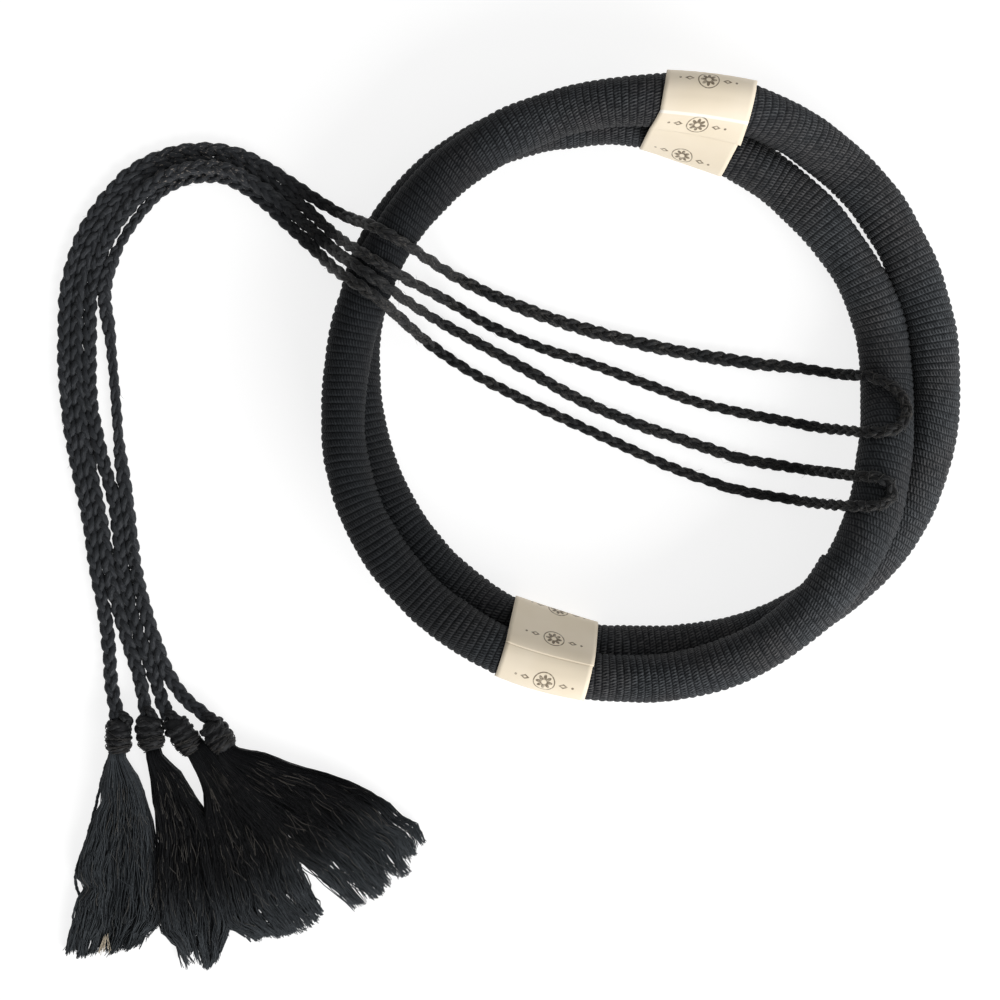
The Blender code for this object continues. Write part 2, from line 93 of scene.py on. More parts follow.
RUN = (
    # x, y, cord 1, cord 2, cord 3, cord 4, ride of cord 3
    (-169.5, -95.5, 10.4, 0.7, -4.1, -8.4, 0.0),
    (-174.0, -77.0, 7.5, 2.2, -2.0, -6.5, 0.0),
    (-178.5, -58.0, 6.5, 2.1, -2.4, -6.7, 0.0),
    (-181.0, -38.5, 7.1, 3.0, -2.7, -6.8, 0.0),
    (-185.0, -20.0, 7.1, 3.0, -1.6, -8.2, 0.0),
    (-187.5, -1.0, 7.3, 3.2, -0.8, -9.2, 0.0),
    (-188.5, 18.0, 7.1, 2.9, -1.6, -8.5, 0.0),
    (-188.0, 37.0, 6.3, 2.2, -1.9, -6.2, 0.0),
    (-182.5, 53.0, 6.3, 2.2, -1.9, -6.4, 0.0),
    (-175.5, 63.5, 6.2, 2.2, -1.9, -6.2, 0.2),
    (-166.0, 72.5, 5.7, 1.6, -2.2, -5.6, 1.9),
    (-154.0, 77.0, 5.1, 0.8, -1.8, -4.2, 3.5),
    (-141.0, 77.0, 4.9, 0.6, -1.6, -4.0, 3.5),
    (-128.5, 71.0, 5.3, 1.1, -1.7, -4.4, 3.1),
    (-116.0, 62.0, 6.1, 1.9, -2.2, -6.2, 0.6),
    (-105.5, 53.0, 8.4, 1.4, -2.6, -6.8, 0.0),
    (-95.0, 44.0, 10.2, 1.0, -3.3, -8.1, 0.0),
    (-83.0, 36.5, 10.8, 1.2, -4.2, -9.0, 0.0),
    (-69.0, 29.0, 11.8, 3.3, -4.1, -11.7, 0.0),
    (-53.5, 20.0, 13.2, 3.5, -3.6, -13.3, 0.0),
    (-36.0, 12.0, 14.3, 3.8, -5.1, -14.6, 0.0),
    (-18.5, 4.5, 16.4, 5.5, -7.2, -15.3, 0.0),
    (-1.0, -2.0, 18.6, 5.6, -8.2, -16.7, 0.0),
    (18.0, -8.5, 21.4, 5.4, -8.3, -18.5, 0.0),
    (33.5, -12.5, 23.0, 5.7, -9.4, -19.9, 0.0),
)
FOLDS = (
    # first cord, second cord, sewn past x, plan points
    (1, 2, 71.0, ((51.0, 8.7), (66.0, 6.3), (76.0, 3.8), (82.6, -0.4), (85.2, -7.0),
                  (81.8, -12.6), (74.0, -14.3), (65.0, -12.8), (51.0, -10.0))),
    (3, 4, 68.0, ((49.0, -24.9), (61.0, -27.0), (69.0, -28.6), (74.6, -29.3), (78.0, -31.5),
                  (78.2, -35.3), (74.8, -37.8), (69.0, -38.3), (61.0, -37.8), (49.0, -35.8))),
)
KNOTS = (
    # entry x, entry y, exit x, exit y, thickness, cord x, cord y
    (-177.3, -110.5, -177.3, -122.0, 9.3, -178.6, -102.6),
    (-166.9, -109.8, -164.8, -121.5, 9.7, -168.6, -102.2),
    (-159.2, -109.6, -150.9, -121.1, 9.4, -162.8, -102.0),
    (-146.3, -110.7, -139.7, -120.6, 9.6, -153.0, -104.9),
)
TASSELS = (
    # left x, left y, right x, right y, lowest, highest
    ((-179.6, -123.0, -174.5, -123.0, 1.6, 8.2),
     (-181.4, -129.1, -170.6, -129.1, 0.1, 8.4),
     (-183.3, -137.6, -167.3, -137.6, 0.1, 8.2),
     (-186.1, -147.8, -165.0, -147.1, 0.1, 7.6),
     (-189.9, -158.7, -163.9, -158.7, 0.1, 6.8),
     (-191.5, -169.9, -163.6, -169.9, 0.1, 6.0),
     (-193.5, -180.2, -165.4, -179.9, 0.1, 5.0),
     (-195.6, -189.4, -168.6, -186.8, 0.1, 3.6)),
    ((-166.9, -122.6, -162.2, -121.8, 1.6, 8.2),
     (-165.9, -129.1, -156.6, -127.4, 0.1, 8.6),
     (-165.0, -137.6, -151.7, -134.9, 0.1, 8.6),
     (-163.6, -149.4, -147.7, -143.0, 0.1, 8.2),
     (-163.0, -161.3, -144.9, -154.5, 0.1, 7.6),
     (-162.4, -171.6, -142.4, -168.2, 0.1, 6.6),
     (-160.0, -181.9, -140.4, -180.2, 0.1, 5.2),
     (-156.0, -192.0, -141.6, -188.8, 0.1, 3.8)),
    ((-152.5, -123.1, -148.6, -120.1, 1.6, 8.2),
     (-149.8, -129.1, -143.9, -125.3, 0.1, 8.8),
     (-147.6, -136.7, -137.9, -131.2, 0.1, 9.2),
     (-145.9, -146.4, -130.9, -139.4, 0.1, 9.0),
     (-143.3, -157.6, -124.4, -148.0, 0.1, 8.4),
     (-141.0, -169.6, -118.7, -157.4, 0.1, 7.2),
     (-138.0, -181.2, -112.6, -168.4, 0.1, 5.6),
     (-133.4, -186.2, -108.4, -174.8, 0.1, 3.8)),
    ((-141.5, -122.2, -137.2, -119.6, 1.6, 8.2),
     (-138.0, -127.2, -128.2, -121.4, 0.1, 8.6),
     (-133.7, -133.2, -117.1, -125.1, 0.1, 8.8),
     (-127.7, -140.4, -105.3, -127.8, 0.1, 8.6),
     (-120.7, -149.6, -94.5, -131.9, 0.1, 8.0),
     (-113.6, -158.6, -84.4, -138.4, 0.1, 7.0),
     (-106.0, -167.4, -76.1, -145.6, 0.1, 5.4),
     (-99.6, -174.2, -72.8, -151.4, 0.1, 3.8)),
)

# ---------------------------------------------------------------- sizes of the fine surface
RIB_PITCH = 2.34          # along the head cord, one raised rib is one knitted course
RIB_STEPS = 8
RING_SIDES = 24
RIB_DEPTH = 0.56
WALES = 50                # stitches round the head cord
RIB_SWELL = 0.34          # how far a rib's crest stands over the frame's surface
BRAID_PITCH = 14.4        # one strand's way from an edge of the braid and back
BRAID_STEP = 0.56
BRAID_WIDE = 1.20         # how far a strand's middle swings to each side
BRAID_HIGH = 0.50         # how far it swings up and down
STRAND = 1.00             # a strand's radius
BRAID_FULL = 1.14         # the cords' thickness where they lie slack side by side ...
BRAID_SLIM = 0.88         # ... and where they cross the ring, pulled thinner
NECK_RUN = 3.0            # how far a cord runs on past its knot, inside the tassel's neck


# ---------------------------------------------------------------- smooth curves
def row(points):
    return (np.asarray(points, float) - np.array([*BOX_MIDDLE, 0.0])) * 0.001


def smooth(known, points, wanted):
    points = np.asarray(points, float).reshape(len(known), -1)
    known = np.asarray(known, float)
    slope = np.gradient(points, known, axis=0)
    i = np.clip(np.searchsorted(known, wanted, side="right") - 1, 0, len(known) - 2)
    h = (known[i + 1] - known[i])[:, None]
    f = ((wanted - known[i]) / (known[i + 1] - known[i]))[:, None]
    return ((2 * f**3 - 3 * f**2 + 1) * points[i] + (f**3 - 2 * f**2 + f) * h * slope[i]
            + (3 * f**2 - 2 * f**3) * points[i + 1] + (f**3 - f**2) * h * slope[i + 1])


def distances(points):
    return np.concatenate([[0.0], np.cumsum(np.linalg.norm(np.diff(points, axis=0), axis=1))])


def even(points, step):
    known = distances(points)
    fine = smooth(known, points, np.linspace(0, known[-1], 6000))
    length = distances(fine)
    count = max(2, int(round(length[-1] / step)) + 1)
    at = np.linspace(0, length[-1], count)
    return np.stack([np.interp(at, length, fine[:, k]) for k in range(fine.shape[1])], 1)


def ease(x):
    x = np.clip(x, 0.0, 1.0)
    return x * x * (3 - 2 * x)


def unit(v):
    return v / np.maximum(np.linalg.norm(v, axis=-1, keepdims=True), 1e-12)


# ---------------------------------------------------------------- the frame's lines
def ring_column(column, path):
    values = [line[1 + column] for line in RING] + [line[3 + column] for line in RING]
    values = np.array(values[-3:] + values + values[:4], float)
    known = np.arange(-3, len(values) - 3) * 15.0
    return smooth(known, values, np.asarray(path, float))[:, 0]


def band_lift(path):
    lift = np.zeros(len(path))
    for _, centre, half, _, _ in BANDS:
        away = np.abs((-path - centre + 180) % 360 - 180)
        lift = np.maximum(lift, BAND_LIFT * ease((half + 10 - away) / 9))
    return lift


def ring_line(step=2.5):
    path = np.arange(0, 720, step)
    turn = len(path) // 2
    reach = ring_column(0, path)
    radius = ring_column(1, path) / 2
    low = radius + band_lift(path)
    together = radius + np.roll(radius, turn) + TURN_GAP
    apart = reach - np.roll(reach, turn)
    rise = np.sqrt(np.maximum(0, together**2 - apart**2))
    on_top = (path <= FIRST_ON_TOP_UNTIL) | (path >= TOP_AGAIN_FROM)
    need = np.where(on_top & (rise > 0), np.roll(low, turn) + rise, low)
    need = np.maximum(need, low)
    high = np.maximum(np.maximum(np.roll(need, 1), need), np.roll(need, -1))
    for _ in range(2):
        high = sum(weight * np.roll(high, shift)
                   for shift, weight in zip(range(-2, 3), (1 / 9, 2 / 9, 3 / 9, 2 / 9, 1 / 9)))
    height = np.where(on_top, np.maximum(high, need), low)
    angle = np.radians(-path)
    middle = np.stack([RING_CENTRE[0] + reach * np.cos(angle),
                       RING_CENTRE[1] + reach * np.sin(angle), height], 1)
    return middle, radius


RING_MIDDLE, RING_RADIUS = ring_line()


def ring_fine(parts=4):
    following, wider = np.roll(RING_MIDDLE, -1, 0), np.roll(RING_RADIUS, -1)
    middle, radius = [], []
    for k in range(parts):
        f = k / parts
        middle.append(RING_MIDDLE * (1 - f) + following * f)
        radius.append(RING_RADIUS * (1 - f) + wider * f)
    return np.concatenate(middle), np.concatenate(radius)


RING_FINE, RING_FINE_RADIUS = ring_fine()


def height_over_ring(plan):
    reach = RING_FINE_RADIUS + CORD_THICKNESS / 2 + CORD_GAP
    away = np.linalg.norm(plan[:, None] - RING_FINE[None, :, :2], axis=2)
    over = RING_FINE[:, 2] + np.sqrt(np.maximum(0, reach**2 - away**2))
    return np.where(away < reach, over, CORD_FLOOR).max(1)


def drape(plan, ride, knots):
    run = distances(plan)
    lead = KNOT_HEIGHT - CORD_FLOOR
    ends = CORD_FLOOR + lead * np.maximum(ease(1 - run / KNOT_LEAD) * knots[0],
                                          ease(1 - (run[-1] - run) / KNOT_LEAD) * knots[1])
    least = np.maximum(height_over_ring(plan), CORD_FLOOR)
    least = np.maximum(least, ends) + ride
    far = np.abs(run[:, None] - run[None])
    height = (least[None] - CORD_STEEP * far).max(1)
    height = np.maximum(height, least)
    window = np.hanning(11)
    window /= window.sum()
    for _ in range(4):
        padded = np.concatenate([[height[0]] * 5, height, [height[-1]] * 5])
        height = np.maximum(np.convolve(padded, window, "valid"), least)
    return height


def run_plan(cord):
    rows = np.array(RUN)
    known = distances(rows[:, :2])
    at = np.linspace(0, known[-1], 3 * (len(rows) - 1) + 1)
    middle = smooth(known, rows[:, :2], at)
    along = unit(np.gradient(middle, at, axis=0))
    left = np.stack([-along[:, 1], along[:, 0]], 1)
    aside = smooth(known, rows[:, 1 + cord], at)
    ride = smooth(known, rows[:, 6], at)[:, 0] if cord == 3 else np.zeros(len(at))
    return middle + left * aside, np.maximum(ride, 0)


def run_beat(plan):
    """How far along the common run each plan point lies, past its start too."""
    rows = np.array(RUN)
    known = distances(rows[:, :2])
    at = np.linspace(0, known[-1], 900)
    middle = smooth(known, rows[:, :2], at)
    return at[np.linalg.norm(plan[:, None] - middle[None], axis=2).argmin(1)]


def plait_beat(line, pitch):
    """The plait's beat along a folded cord, in pitches.  All four runs keep the same beat, so
    that the swells of one lie in the waists of the next."""
    run = distances(line)
    shared = run_beat(line[:, :2])
    beside = np.nonzero(line[:, 0] < RUN[-1][0])[0]
    turn = int(np.nonzero(np.diff(beside) > 1)[0][0])
    out, back = beside[turn], beside[turn + 1]
    first = int(np.nonzero(shared[:out] > 0.5)[0][0])
    last = back + int(np.nonzero(shared[back:] > 0.5)[0][-1])
    beat = shared / pitch
    beat[:first] = beat[first] - (run[first] - run[:first]) / pitch
    home = beat[back:last + 1].copy()
    home = np.concatenate([home, home[-1] - (run[last + 1:] - run[last]) / pitch])
    whole = round((run[back] - run[out]) / pitch + beat[out] + home[0])
    beat[back:] = whole - home
    beat[out:back + 1] = np.interp(run[out:back + 1], (run[out], run[back]), (beat[out], beat[back]))
    window = np.hanning(9)
    window /= window.sum()
    padded = np.concatenate([2 * beat[0] - beat[4:0:-1], beat, 2 * beat[-1] - beat[-2:-6:-1]])
    return np.convolve(padded, window, "valid")


def chain(fold):
    first, second, sewn_past, bend = fold
    out, out_ride = run_plan(first)
    back, back_ride = run_plan(second)
    ends = []
    for cord in (first, second):
        knot = KNOTS[cord - 1]
        way = np.array(knot[:2]) - np.array(knot[2:4])
        way /= np.linalg.norm(way)
        entry = np.array(knot[:2])
        ends.append([entry + way * BUTT_GAP, entry + way * (BUTT_GAP + 1.6), np.array(knot[5:7])])
    plan = np.concatenate([ends[0], out, np.array(bend), back[::-1], ends[1][::-1]])
    ride = np.concatenate([np.zeros(3), out_ride, np.zeros(len(bend)), back_ride[::-1], np.zeros(3)])
    fine = even(np.column_stack([plan, ride]), 1.0)
    height = drape(fine[:, :2], fine[:, 2], (1, 1))
    line = np.column_stack([fine[:, :2], height])
    over = np.nonzero(line[:, 0] > sewn_past)[0]
    return line, over[0], over[-1]


# ---------------------------------------------------------------- meshes
def make_mesh(name, points, faces, uvs=None, finish=None, values=None):
    """faces: arrays of equal-sided faces.  uvs: an array for each, of every corner's place."""
    faces = [np.asarray(f, np.int64) for f in faces if len(f)]
    points = np.asarray(points, float)
    volume = 0.0
    for f in faces:
        for k in range(1, f.shape[1] - 1):
            a, b, c = points[f[:, 0]], points[f[:, k]], points[f[:, k + 1]]
            volume += float(np.einsum("ij,ij->", a, np.cross(b, c)))
    if volume < 0:
        faces = [f[:, ::-1] for f in faces]
        if uvs is not None:
            uvs = [u[:, ::-1] for u in uvs]
    mesh = bpy.data.meshes.new(name)
    mesh.vertices.add(len(points))
    mesh.vertices.foreach_set("co", row(points).astype(np.float32).ravel())
    sizes = np.concatenate([np.full(len(f), f.shape[1]) for f in faces])
    mesh.loops.add(int(sizes.sum()))
    mesh.loops.foreach_set("vertex_index", np.concatenate([f.ravel() for f in faces]).astype(np.int32))
    mesh.polygons.add(len(sizes))
    mesh.polygons.foreach_set("loop_start", np.concatenate([[0], np.cumsum(sizes)[:-1]]).astype(np.int32))
    mesh.update(calc_edges=True)
    mesh.shade_smooth()
    if uvs is not None:
        layer = mesh.uv_layers.new(name="weave")
        layer.data.foreach_set("uv", np.concatenate([u.reshape(-1, 2) for u in uvs]).astype(np.float32).ravel())
    for key, value in (values or {}).items():
        layer = mesh.attributes.new(name=key, type="FLOAT", domain="POINT")
        layer.data.foreach_set("value", np.asarray(value, np.float32).ravel())
    item = bpy.data.objects.new(name, mesh)
    bpy.context.scene.collection.objects.link(item)
    if finish is not None:
        mesh.materials.append(finish)
    return item


class Parts:
    """Gathers tubes and grids that become one mesh."""

    def __init__(self):
        self.points, self.faces, self.uvs, self.count = [], {}, {}, 0

    def add_faces(self, faces, uv):
        size = faces.shape[1]
        self.faces.setdefault(size, []).append(faces + self.count)
        self.uvs.setdefault(size, []).append(uv)

    def tubes(self, rings, uv, closed=False):
        """rings: (tubes, stations, sides, 3).  uv: (tubes, stations, 2) with the way round left out,
        or (tubes, stations, sides + 1, 2)."""
        t, n, m, _ = rings.shape
        base = np.arange(t)[:, None, None] * (n * m)
        last = n if closed else n - 1
        i, j = np.arange(last)[None, :, None], np.arange(m)[None, None, :]
        i2, j2 = (i + 1) % n, (j + 1) % m
        quads = np.stack([base + i * m + j, base + i * m + j2, base + i2 * m + j2, base + i2 * m + j], -1)
        if uv.ndim == 3:
            around = np.broadcast_to(np.linspace(0, 1, m + 1)[None, None, :], (t, n, m + 1))
            uv = np.stack([np.broadcast_to(uv[:, :, None, 0], (t, n, m + 1)) + 0 * around,
                           uv[:, :, None, 1] + 0 * around], -1)
        nxt = np.concatenate([uv[:, 1:], uv[:, :1]], 1)[:, :last]
        here = uv[:, :last]
        corner = np.stack([here[:, :, :-1], here[:, :, 1:], nxt[:, :, 1:], nxt[:, :, :-1]], 3)
        self.add_faces(quads.reshape(-1, 4), corner.reshape(-1, 4, 2))
        if not closed:
            ring = np.arange(m)[None, :] + base[:, 0]
            self.add_faces(ring[:, ::-1], uv[:, 0, :m][:, ::-1])
            self.add_faces(ring + (n - 1) * m, uv[:, -1, :m])
        self.points.append(rings.reshape(-1, 3))
        self.count += t * n * m

    def done(self, name, finish, values=None):
        sizes = sorted(self.faces)
        faces = [np.concatenate(self.faces[s]) for s in sizes]
        uvs = [np.concatenate(self.uvs[s]) for s in sizes]
        return make_mesh(name, np.concatenate(self.points), faces, uvs, finish, values)


def frames(lines):
    """Along, side and up at each point of lines (..., n, 3); side stays level where it can."""
    along = unit(np.gradient(lines, axis=-2))
    side = np.cross(np.array([0.0, 0.0, 1.0]), along)
    flat = np.linalg.norm(side, axis=-1, keepdims=True)
    side = np.where(flat < 0.05, np.array([1.0, 0.0, 0.0]), side)
    side = unit(side - (side * along).sum(-1, keepdims=True) * along)
    return along, side, np.cross(along, side)


def carried_frames(lines):
    """Frames carried along lines (t, n, 3) with no turn of their own."""
    along = unit(np.gradient(lines, axis=1))
    start = np.where(np.abs(along[:, 0, 2:3]) > 0.9, np.array([[1.0, 0, 0]]), np.array([[0, 0, 1.0]]))
    side = np.empty_like(lines)
    side[:, 0] = unit(np.cross(start, along[:, 0]))
    for k in range(1, lines.shape[1]):
        s = side[:, k - 1] - (side[:, k - 1] * along[:, k]).sum(-1, keepdims=True) * along[:, k]
        side[:, k] = unit(s)
    return along, side, np.cross(along, side)


def round_tubes(lines, radii, sides, lobes=0, depth=0.0, pitch=4.0, seed=0):
    """Rings about lines (t, n, 3); lobes twist round the tube like the plies of a yarn."""
    _, side, up = carried_frames(lines)
    t, n, _ = lines.shape
    turn = 2 * np.pi * (np.arange(sides) + 0.5) / sides
    radii = np.broadcast_to(radii, (t, n))[..., None] * np.ones(sides)
    if lobes:
        run = np.concatenate([np.zeros((t, 1)), np.cumsum(np.linalg.norm(np.diff(lines, axis=1), axis=2), 1)], 1)
        phase = np.random.default_rng(seed).uniform(0, 6.28, (t, 1, 1))
        wave = np.cos(lobes * (turn[None, None] - 2 * np.pi * run[..., None] / pitch) + phase)
        radii = radii * (1 + depth * wave)
    return (lines[:, :, None] + radii[..., None] * (np.cos(turn)[None, None, :, None] * side[:, :, None]
                                                    + np.sin(turn)[None, None, :, None] * up[:, :, None]))


# ---------------------------------------------------------------- materials
class Nodes:
    def __init__(self, name, roughness, specular=0.5, sheen=0.0, sheen_roughness=0.5, sheen_tint=(1, 1, 1),
                 coat=0.0, coat_roughness=0.2):
        self.material = bpy.data.materials.new(name)
        self.material.use_nodes = True
        self.tree = self.material.node_tree
        self.shader = self.tree.nodes["Principled BSDF"]
        inputs = self.shader.inputs
        inputs["Roughness"].default_value = roughness
        inputs["Specular IOR Level"].default_value = specular
        inputs["Sheen Weight"].default_value = sheen
        inputs["Sheen Roughness"].default_value = sheen_roughness
        inputs["Sheen Tint"].default_value = (*sheen_tint, 1.0)
        inputs["Coat Weight"].default_value = coat
        inputs["Coat Roughness"].default_value = coat_roughness

    def node(self, kind, **settings):
        made = self.tree.nodes.new(kind)
        for key, value in settings.items():
            setattr(made, key, value)
        return made

    def link(self, value, socket):
        if hasattr(value, "is_linked") or hasattr(value, "links"):
            self.tree.links.new(value, socket)
        else:
            socket.default_value = value

    def math(self, operation, *values, clamp=False):
        made = self.node("ShaderNodeMath", operation=operation, use_clamp=clamp)
        for socket, value in zip(made.inputs, values):
            self.link(value, socket)
        return made.outputs[0]

    def mix(self, factor, one, two):
        made = self.node("ShaderNodeMix", data_type="RGBA")
        self.link(factor, made.inputs[0])
        for socket, value in ((made.inputs[6], one), (made.inputs[7], two)):
            self.link(value if not isinstance(value, tuple) else (*value, 1.0), socket)
        return made.outputs[2]

    def span(self, value, low, high, to_low=0.0, to_high=1.0):
        made = self.node("ShaderNodeMapRange", interpolation_type="SMOOTHSTEP")
        for socket, v in zip(made.inputs, (value, low, high, to_low, to_high)):
            self.link(v, socket)
        return made.outputs[0]

    def uv(self):
        made = self.node("ShaderNodeUVMap", uv_map="weave")
        parts = self.node("ShaderNodeSeparateXYZ")
        self.tree.links.new(made.outputs[0], parts.inputs[0])
        return made.outputs[0], parts.outputs[0], parts.outputs[1]

    def place(self):
        return self.node("ShaderNodeTexCoord").outputs["Object"]

    def noise(self, where, scale, detail=2.0, roughness=0.5):
        made = self.node("ShaderNodeTexNoise")
        self.tree.links.new(where, made.inputs["Vector"])
        made.inputs["Scale"].default_value = scale
        made.inputs["Detail"].default_value = detail
        made.inputs["Roughness"].default_value = roughness
        return made.outputs[0]

    def attribute(self, name):
        return self.node("ShaderNodeAttribute", attribute_name=name).outputs["Fac"]

    def joined(self, x, y, z=0.0):
        made = self.node("ShaderNodeCombineXYZ")
        for socket, value in zip(made.inputs, (x, y, z)):
            self.link(value, socket)
        return made.outputs[0]

    def colour(self, value):
        self.link(value if not isinstance(value, tuple) else (*value, 1.0), self.shader.inputs["Base Color"])

    def roughness(self, value):
        self.link(value, self.shader.inputs["Roughness"])

    def bump(self, height, distance, strength=1.0, normal=None):
        made = self.node("ShaderNodeBump")
        made.inputs["Strength"].default_value = strength
        made.inputs["Distance"].default_value = distance
        self.tree.links.new(height, made.inputs["Height"])
        if normal is not None:
            self.tree.links.new(normal, made.inputs["Normal"])
        self.tree.links.new(made.outputs[0], self.shader.inputs["Normal"])
        return made.outputs[0]


def knit_material():
    """One row of stitches to a rib: a dark slot with slanted strokes of yarn round it.  Their light and dark are
    painted: a painted highlight on the raised strokes, painted shade in the slots and the rib valleys.
    """
    n = Nodes("knit", 0.62, specular=0.05, sheen=0.02, sheen_roughness=0.5)
    vector, u, v = n.uv()
    where = n.place()
    drift = n.noise(where, 420.0, 1.0)
    v = n.math("ADD", v, n.math("MULTIPLY", n.math("SUBTRACT", drift, 0.5), 0.7))
    g = n.math("SUBTRACT", n.math("FRACT", u), 0.56)
    h = n.math("SUBTRACT", n.math("FRACT", n.math("ADD", v, n.math("MULTIPLY", g, 0.75))), 0.5)
    across = n.math("DIVIDE", n.math("MULTIPLY", g, 2.34), 0.46)
    along = n.math("DIVIDE", n.math("MULTIPLY", h, 1.04), 0.235)
    reach = n.math("SQRT", n.math("ADD", n.math("MULTIPLY", across, across), n.math("MULTIPLY", along, along)))
    hole = n.span(reach, 1.25, 0.70)
    stroke = n.span(n.math("ABSOLUTE", h), 0.16, 0.42)
    edge = n.math("ABSOLUTE", n.math("SUBTRACT", n.math("MULTIPLY", n.math("FRACT", u), 2.0), 1.0))
    valley = n.span(edge, 0.60, 0.95)
    fibre = n.noise(where, 2600.0, 2.0)
    patch = n.noise(where, 45.0, 3.0)
    uneven = n.span(n.noise(where, 620.0, 1.0), 0.30, 0.66, 0.45, 1.25)
    raised = n.math("MULTIPLY", n.math("SUBTRACT", 1.0, hole), n.math("ADD", n.math("MULTIPLY", stroke, 0.6), 0.4))
    height = n.math("ADD", raised, n.math("MULTIPLY", fibre, 0.35))
    n.bump(height, 0.00034, 0.9)
    # painted highlight on the raised strokes, painted shade in the stitch slots and the rib valleys
    light = n.math("MULTIPLY", raised, n.math("SUBTRACT", 1.0, n.math("MULTIPLY", valley, 0.68)))
    light = n.math("MULTIPLY", light, n.math("MULTIPLY", uneven, n.math("ADD", n.math("MULTIPLY", fibre, 0.8), 0.6)))
    worn = n.attribute("worn")
    # painted shade and light: the colour is darker on the left and lighter on the right, where more light falls
    parts = n.node("ShaderNodeSeparateXYZ")
    n.link(where, parts.inputs[0])
    shade = n.math("ADD", n.span(parts.outputs[0], -0.080, -0.025, 0.17, 0.76),
                   n.span(parts.outputs[0], 0.030, 0.070, 0.0, 0.27))
    light = n.math("MULTIPLY", light, shade)
    light = n.math("MULTIPLY", light, n.math("SUBTRACT", 1.0, n.math("MULTIPLY", worn, 0.45)), clamp=True)
    cool = n.mix(n.span(patch, 0.35, 0.65), (0.074, 0.080, 0.086), (0.083, 0.081, 0.082))
    # painted shade: the rib valleys get the darker colour
    dark = n.mix(valley, (0.0100, 0.0112, 0.0128), (0.0060, 0.0067, 0.0078))
    # painted light: on the right, where more light falls, the dark colours are painted lighter
    lit_side_dark = n.mix(valley, (0.0165, 0.0182, 0.0205), (0.0120, 0.0133, 0.0150))
    dark = n.mix(n.span(parts.outputs[0], -0.010, 0.050), dark, lit_side_dark)
    n.colour(n.mix(light, dark, cool))
    return n.material


def yarn_material(name, dark, light, share=0.5, scale=900.0, sheen=0.10, roughness=0.6, deep_run_and_bend_highlight=False):
    """Yarn of fine fibres, lighter here and there; U runs along the yarn in millimetres.
    The last flag gives the cords past the bend a deeper tone and paints a highlight, as pale broken fibres, where the
    cords bend over at their far end."""
    n = Nodes(name, roughness, specular=0.22, sheen=sheen, sheen_roughness=0.4)
    vector, u, v = n.uv()
    where = n.place()
    fibre = n.noise(n.joined(n.math("MULTIPLY", u, 0.9), n.math("MULTIPLY", v, 14.0)), 1.0, 3.0, 0.6)
    grain = n.noise(where, scale, 2.0)
    patch = n.noise(where, 140.0, 2.0)
    light_up = n.math("MULTIPLY", n.span(fibre, 0.45, 0.75), n.span(patch, 0.42, 0.62, 0.25, 1.0))
    light_up = n.math("MULTIPLY", light_up, share)
    n.bump(n.math("ADD", fibre, n.math("MULTIPLY", grain, 0.5)), 0.00028, 0.9)
    base = n.mix(light_up, dark, light)
    if deep_run_and_bend_highlight:
        parts = n.node("ShaderNodeSeparateXYZ")
        n.link(where, parts.inputs[0])
        strands = n.math("MULTIPLY", n.span(fibre, 0.45, 0.66), n.span(patch, 0.36, 0.60, 0.2, 1.0))
        deep = n.mix(strands, (0.0058, 0.0066, 0.0078), (0.052, 0.048, 0.043))
        base = n.mix(n.span(parts.outputs[0], -0.140, -0.100), base, deep)
        # painted highlight: pale fibre streaks on top of the bend, where the glossy strands catch the light
        x = n.math("ADD", parts.outputs[0], 0.149)
        y = n.math("ADD", parts.outputs[1], -0.074)
        reach = n.math("SQRT", n.math("ADD", n.math("MULTIPLY", x, x), n.math("MULTIPLY", n.math("MULTIPLY", y, y), 2.0)))
        bend_highlight = n.math("MULTIPLY", n.span(reach, 0.023, 0.010), n.span(fibre, 0.56, 0.66))
        base = n.mix(n.math("MULTIPLY", bend_highlight, n.span(n.noise(where, 700.0, 1.0), 0.42, 0.55)), base, (0.235, 0.205, 0.180))
    n.colour(base)
    return n.material


def fringe_material():
    """U holds the thread's own shade (past 0.9 a pale hair, past 1.5 a beige one), V its way from
    the neck to the end.  The threads are greyer in the leftmost tassel and towards the ends: painted light, with
    painted shade in the upper parts of the other tassels."""
    n = Nodes("fringe", 0.55, specular=0.09, sheen=0.02, sheen_roughness=0.4)
    vector, u, v = n.uv()
    where = n.place()
    parts = n.node("ShaderNodeSeparateXYZ")
    n.link(where, parts.inputs[0])
    patch = n.noise(where, 160.0, 2.0)
    streak = n.noise(where, 1500.0, 2.0)
    own = n.math("ADD", n.math("MULTIPLY", u, 0.8), n.math("MULTIPLY", n.math("SUBTRACT", streak, 0.5), 0.8))
    own = n.span(own, 0.0, 0.85)
    # painted light and shade: lighter in the leftmost tassel and towards the thread ends, darker in the upper parts of
    # the others
    beside = n.math("ADD", parts.outputs[0],
                    n.math("MULTIPLY", n.math("MAXIMUM", n.math("ADD", parts.outputs[1], 0.147), 0.0), 0.25))
    level = n.math("MAXIMUM", n.span(beside, -0.1635, -0.1665), n.span(v, 0.58, 0.94, 0.0, 0.95))
    base = n.mix(level, n.mix(own, (0.0030, 0.0033, 0.0040), (0.0085, 0.0090, 0.0102)),
                 n.mix(own, (0.0240, 0.0275, 0.0310), (0.0520, 0.0590, 0.0650)))
    pale = n.math("MULTIPLY", n.span(u, 0.90, 0.96), n.span(patch, 0.38, 0.58, 0.35, 1.0))
    base = n.mix(pale, base, (0.100, 0.092, 0.082))
    base = n.mix(n.span(u, 1.3, 1.6), base, (0.46, 0.40, 0.31))
    n.colour(base)
    return n.material


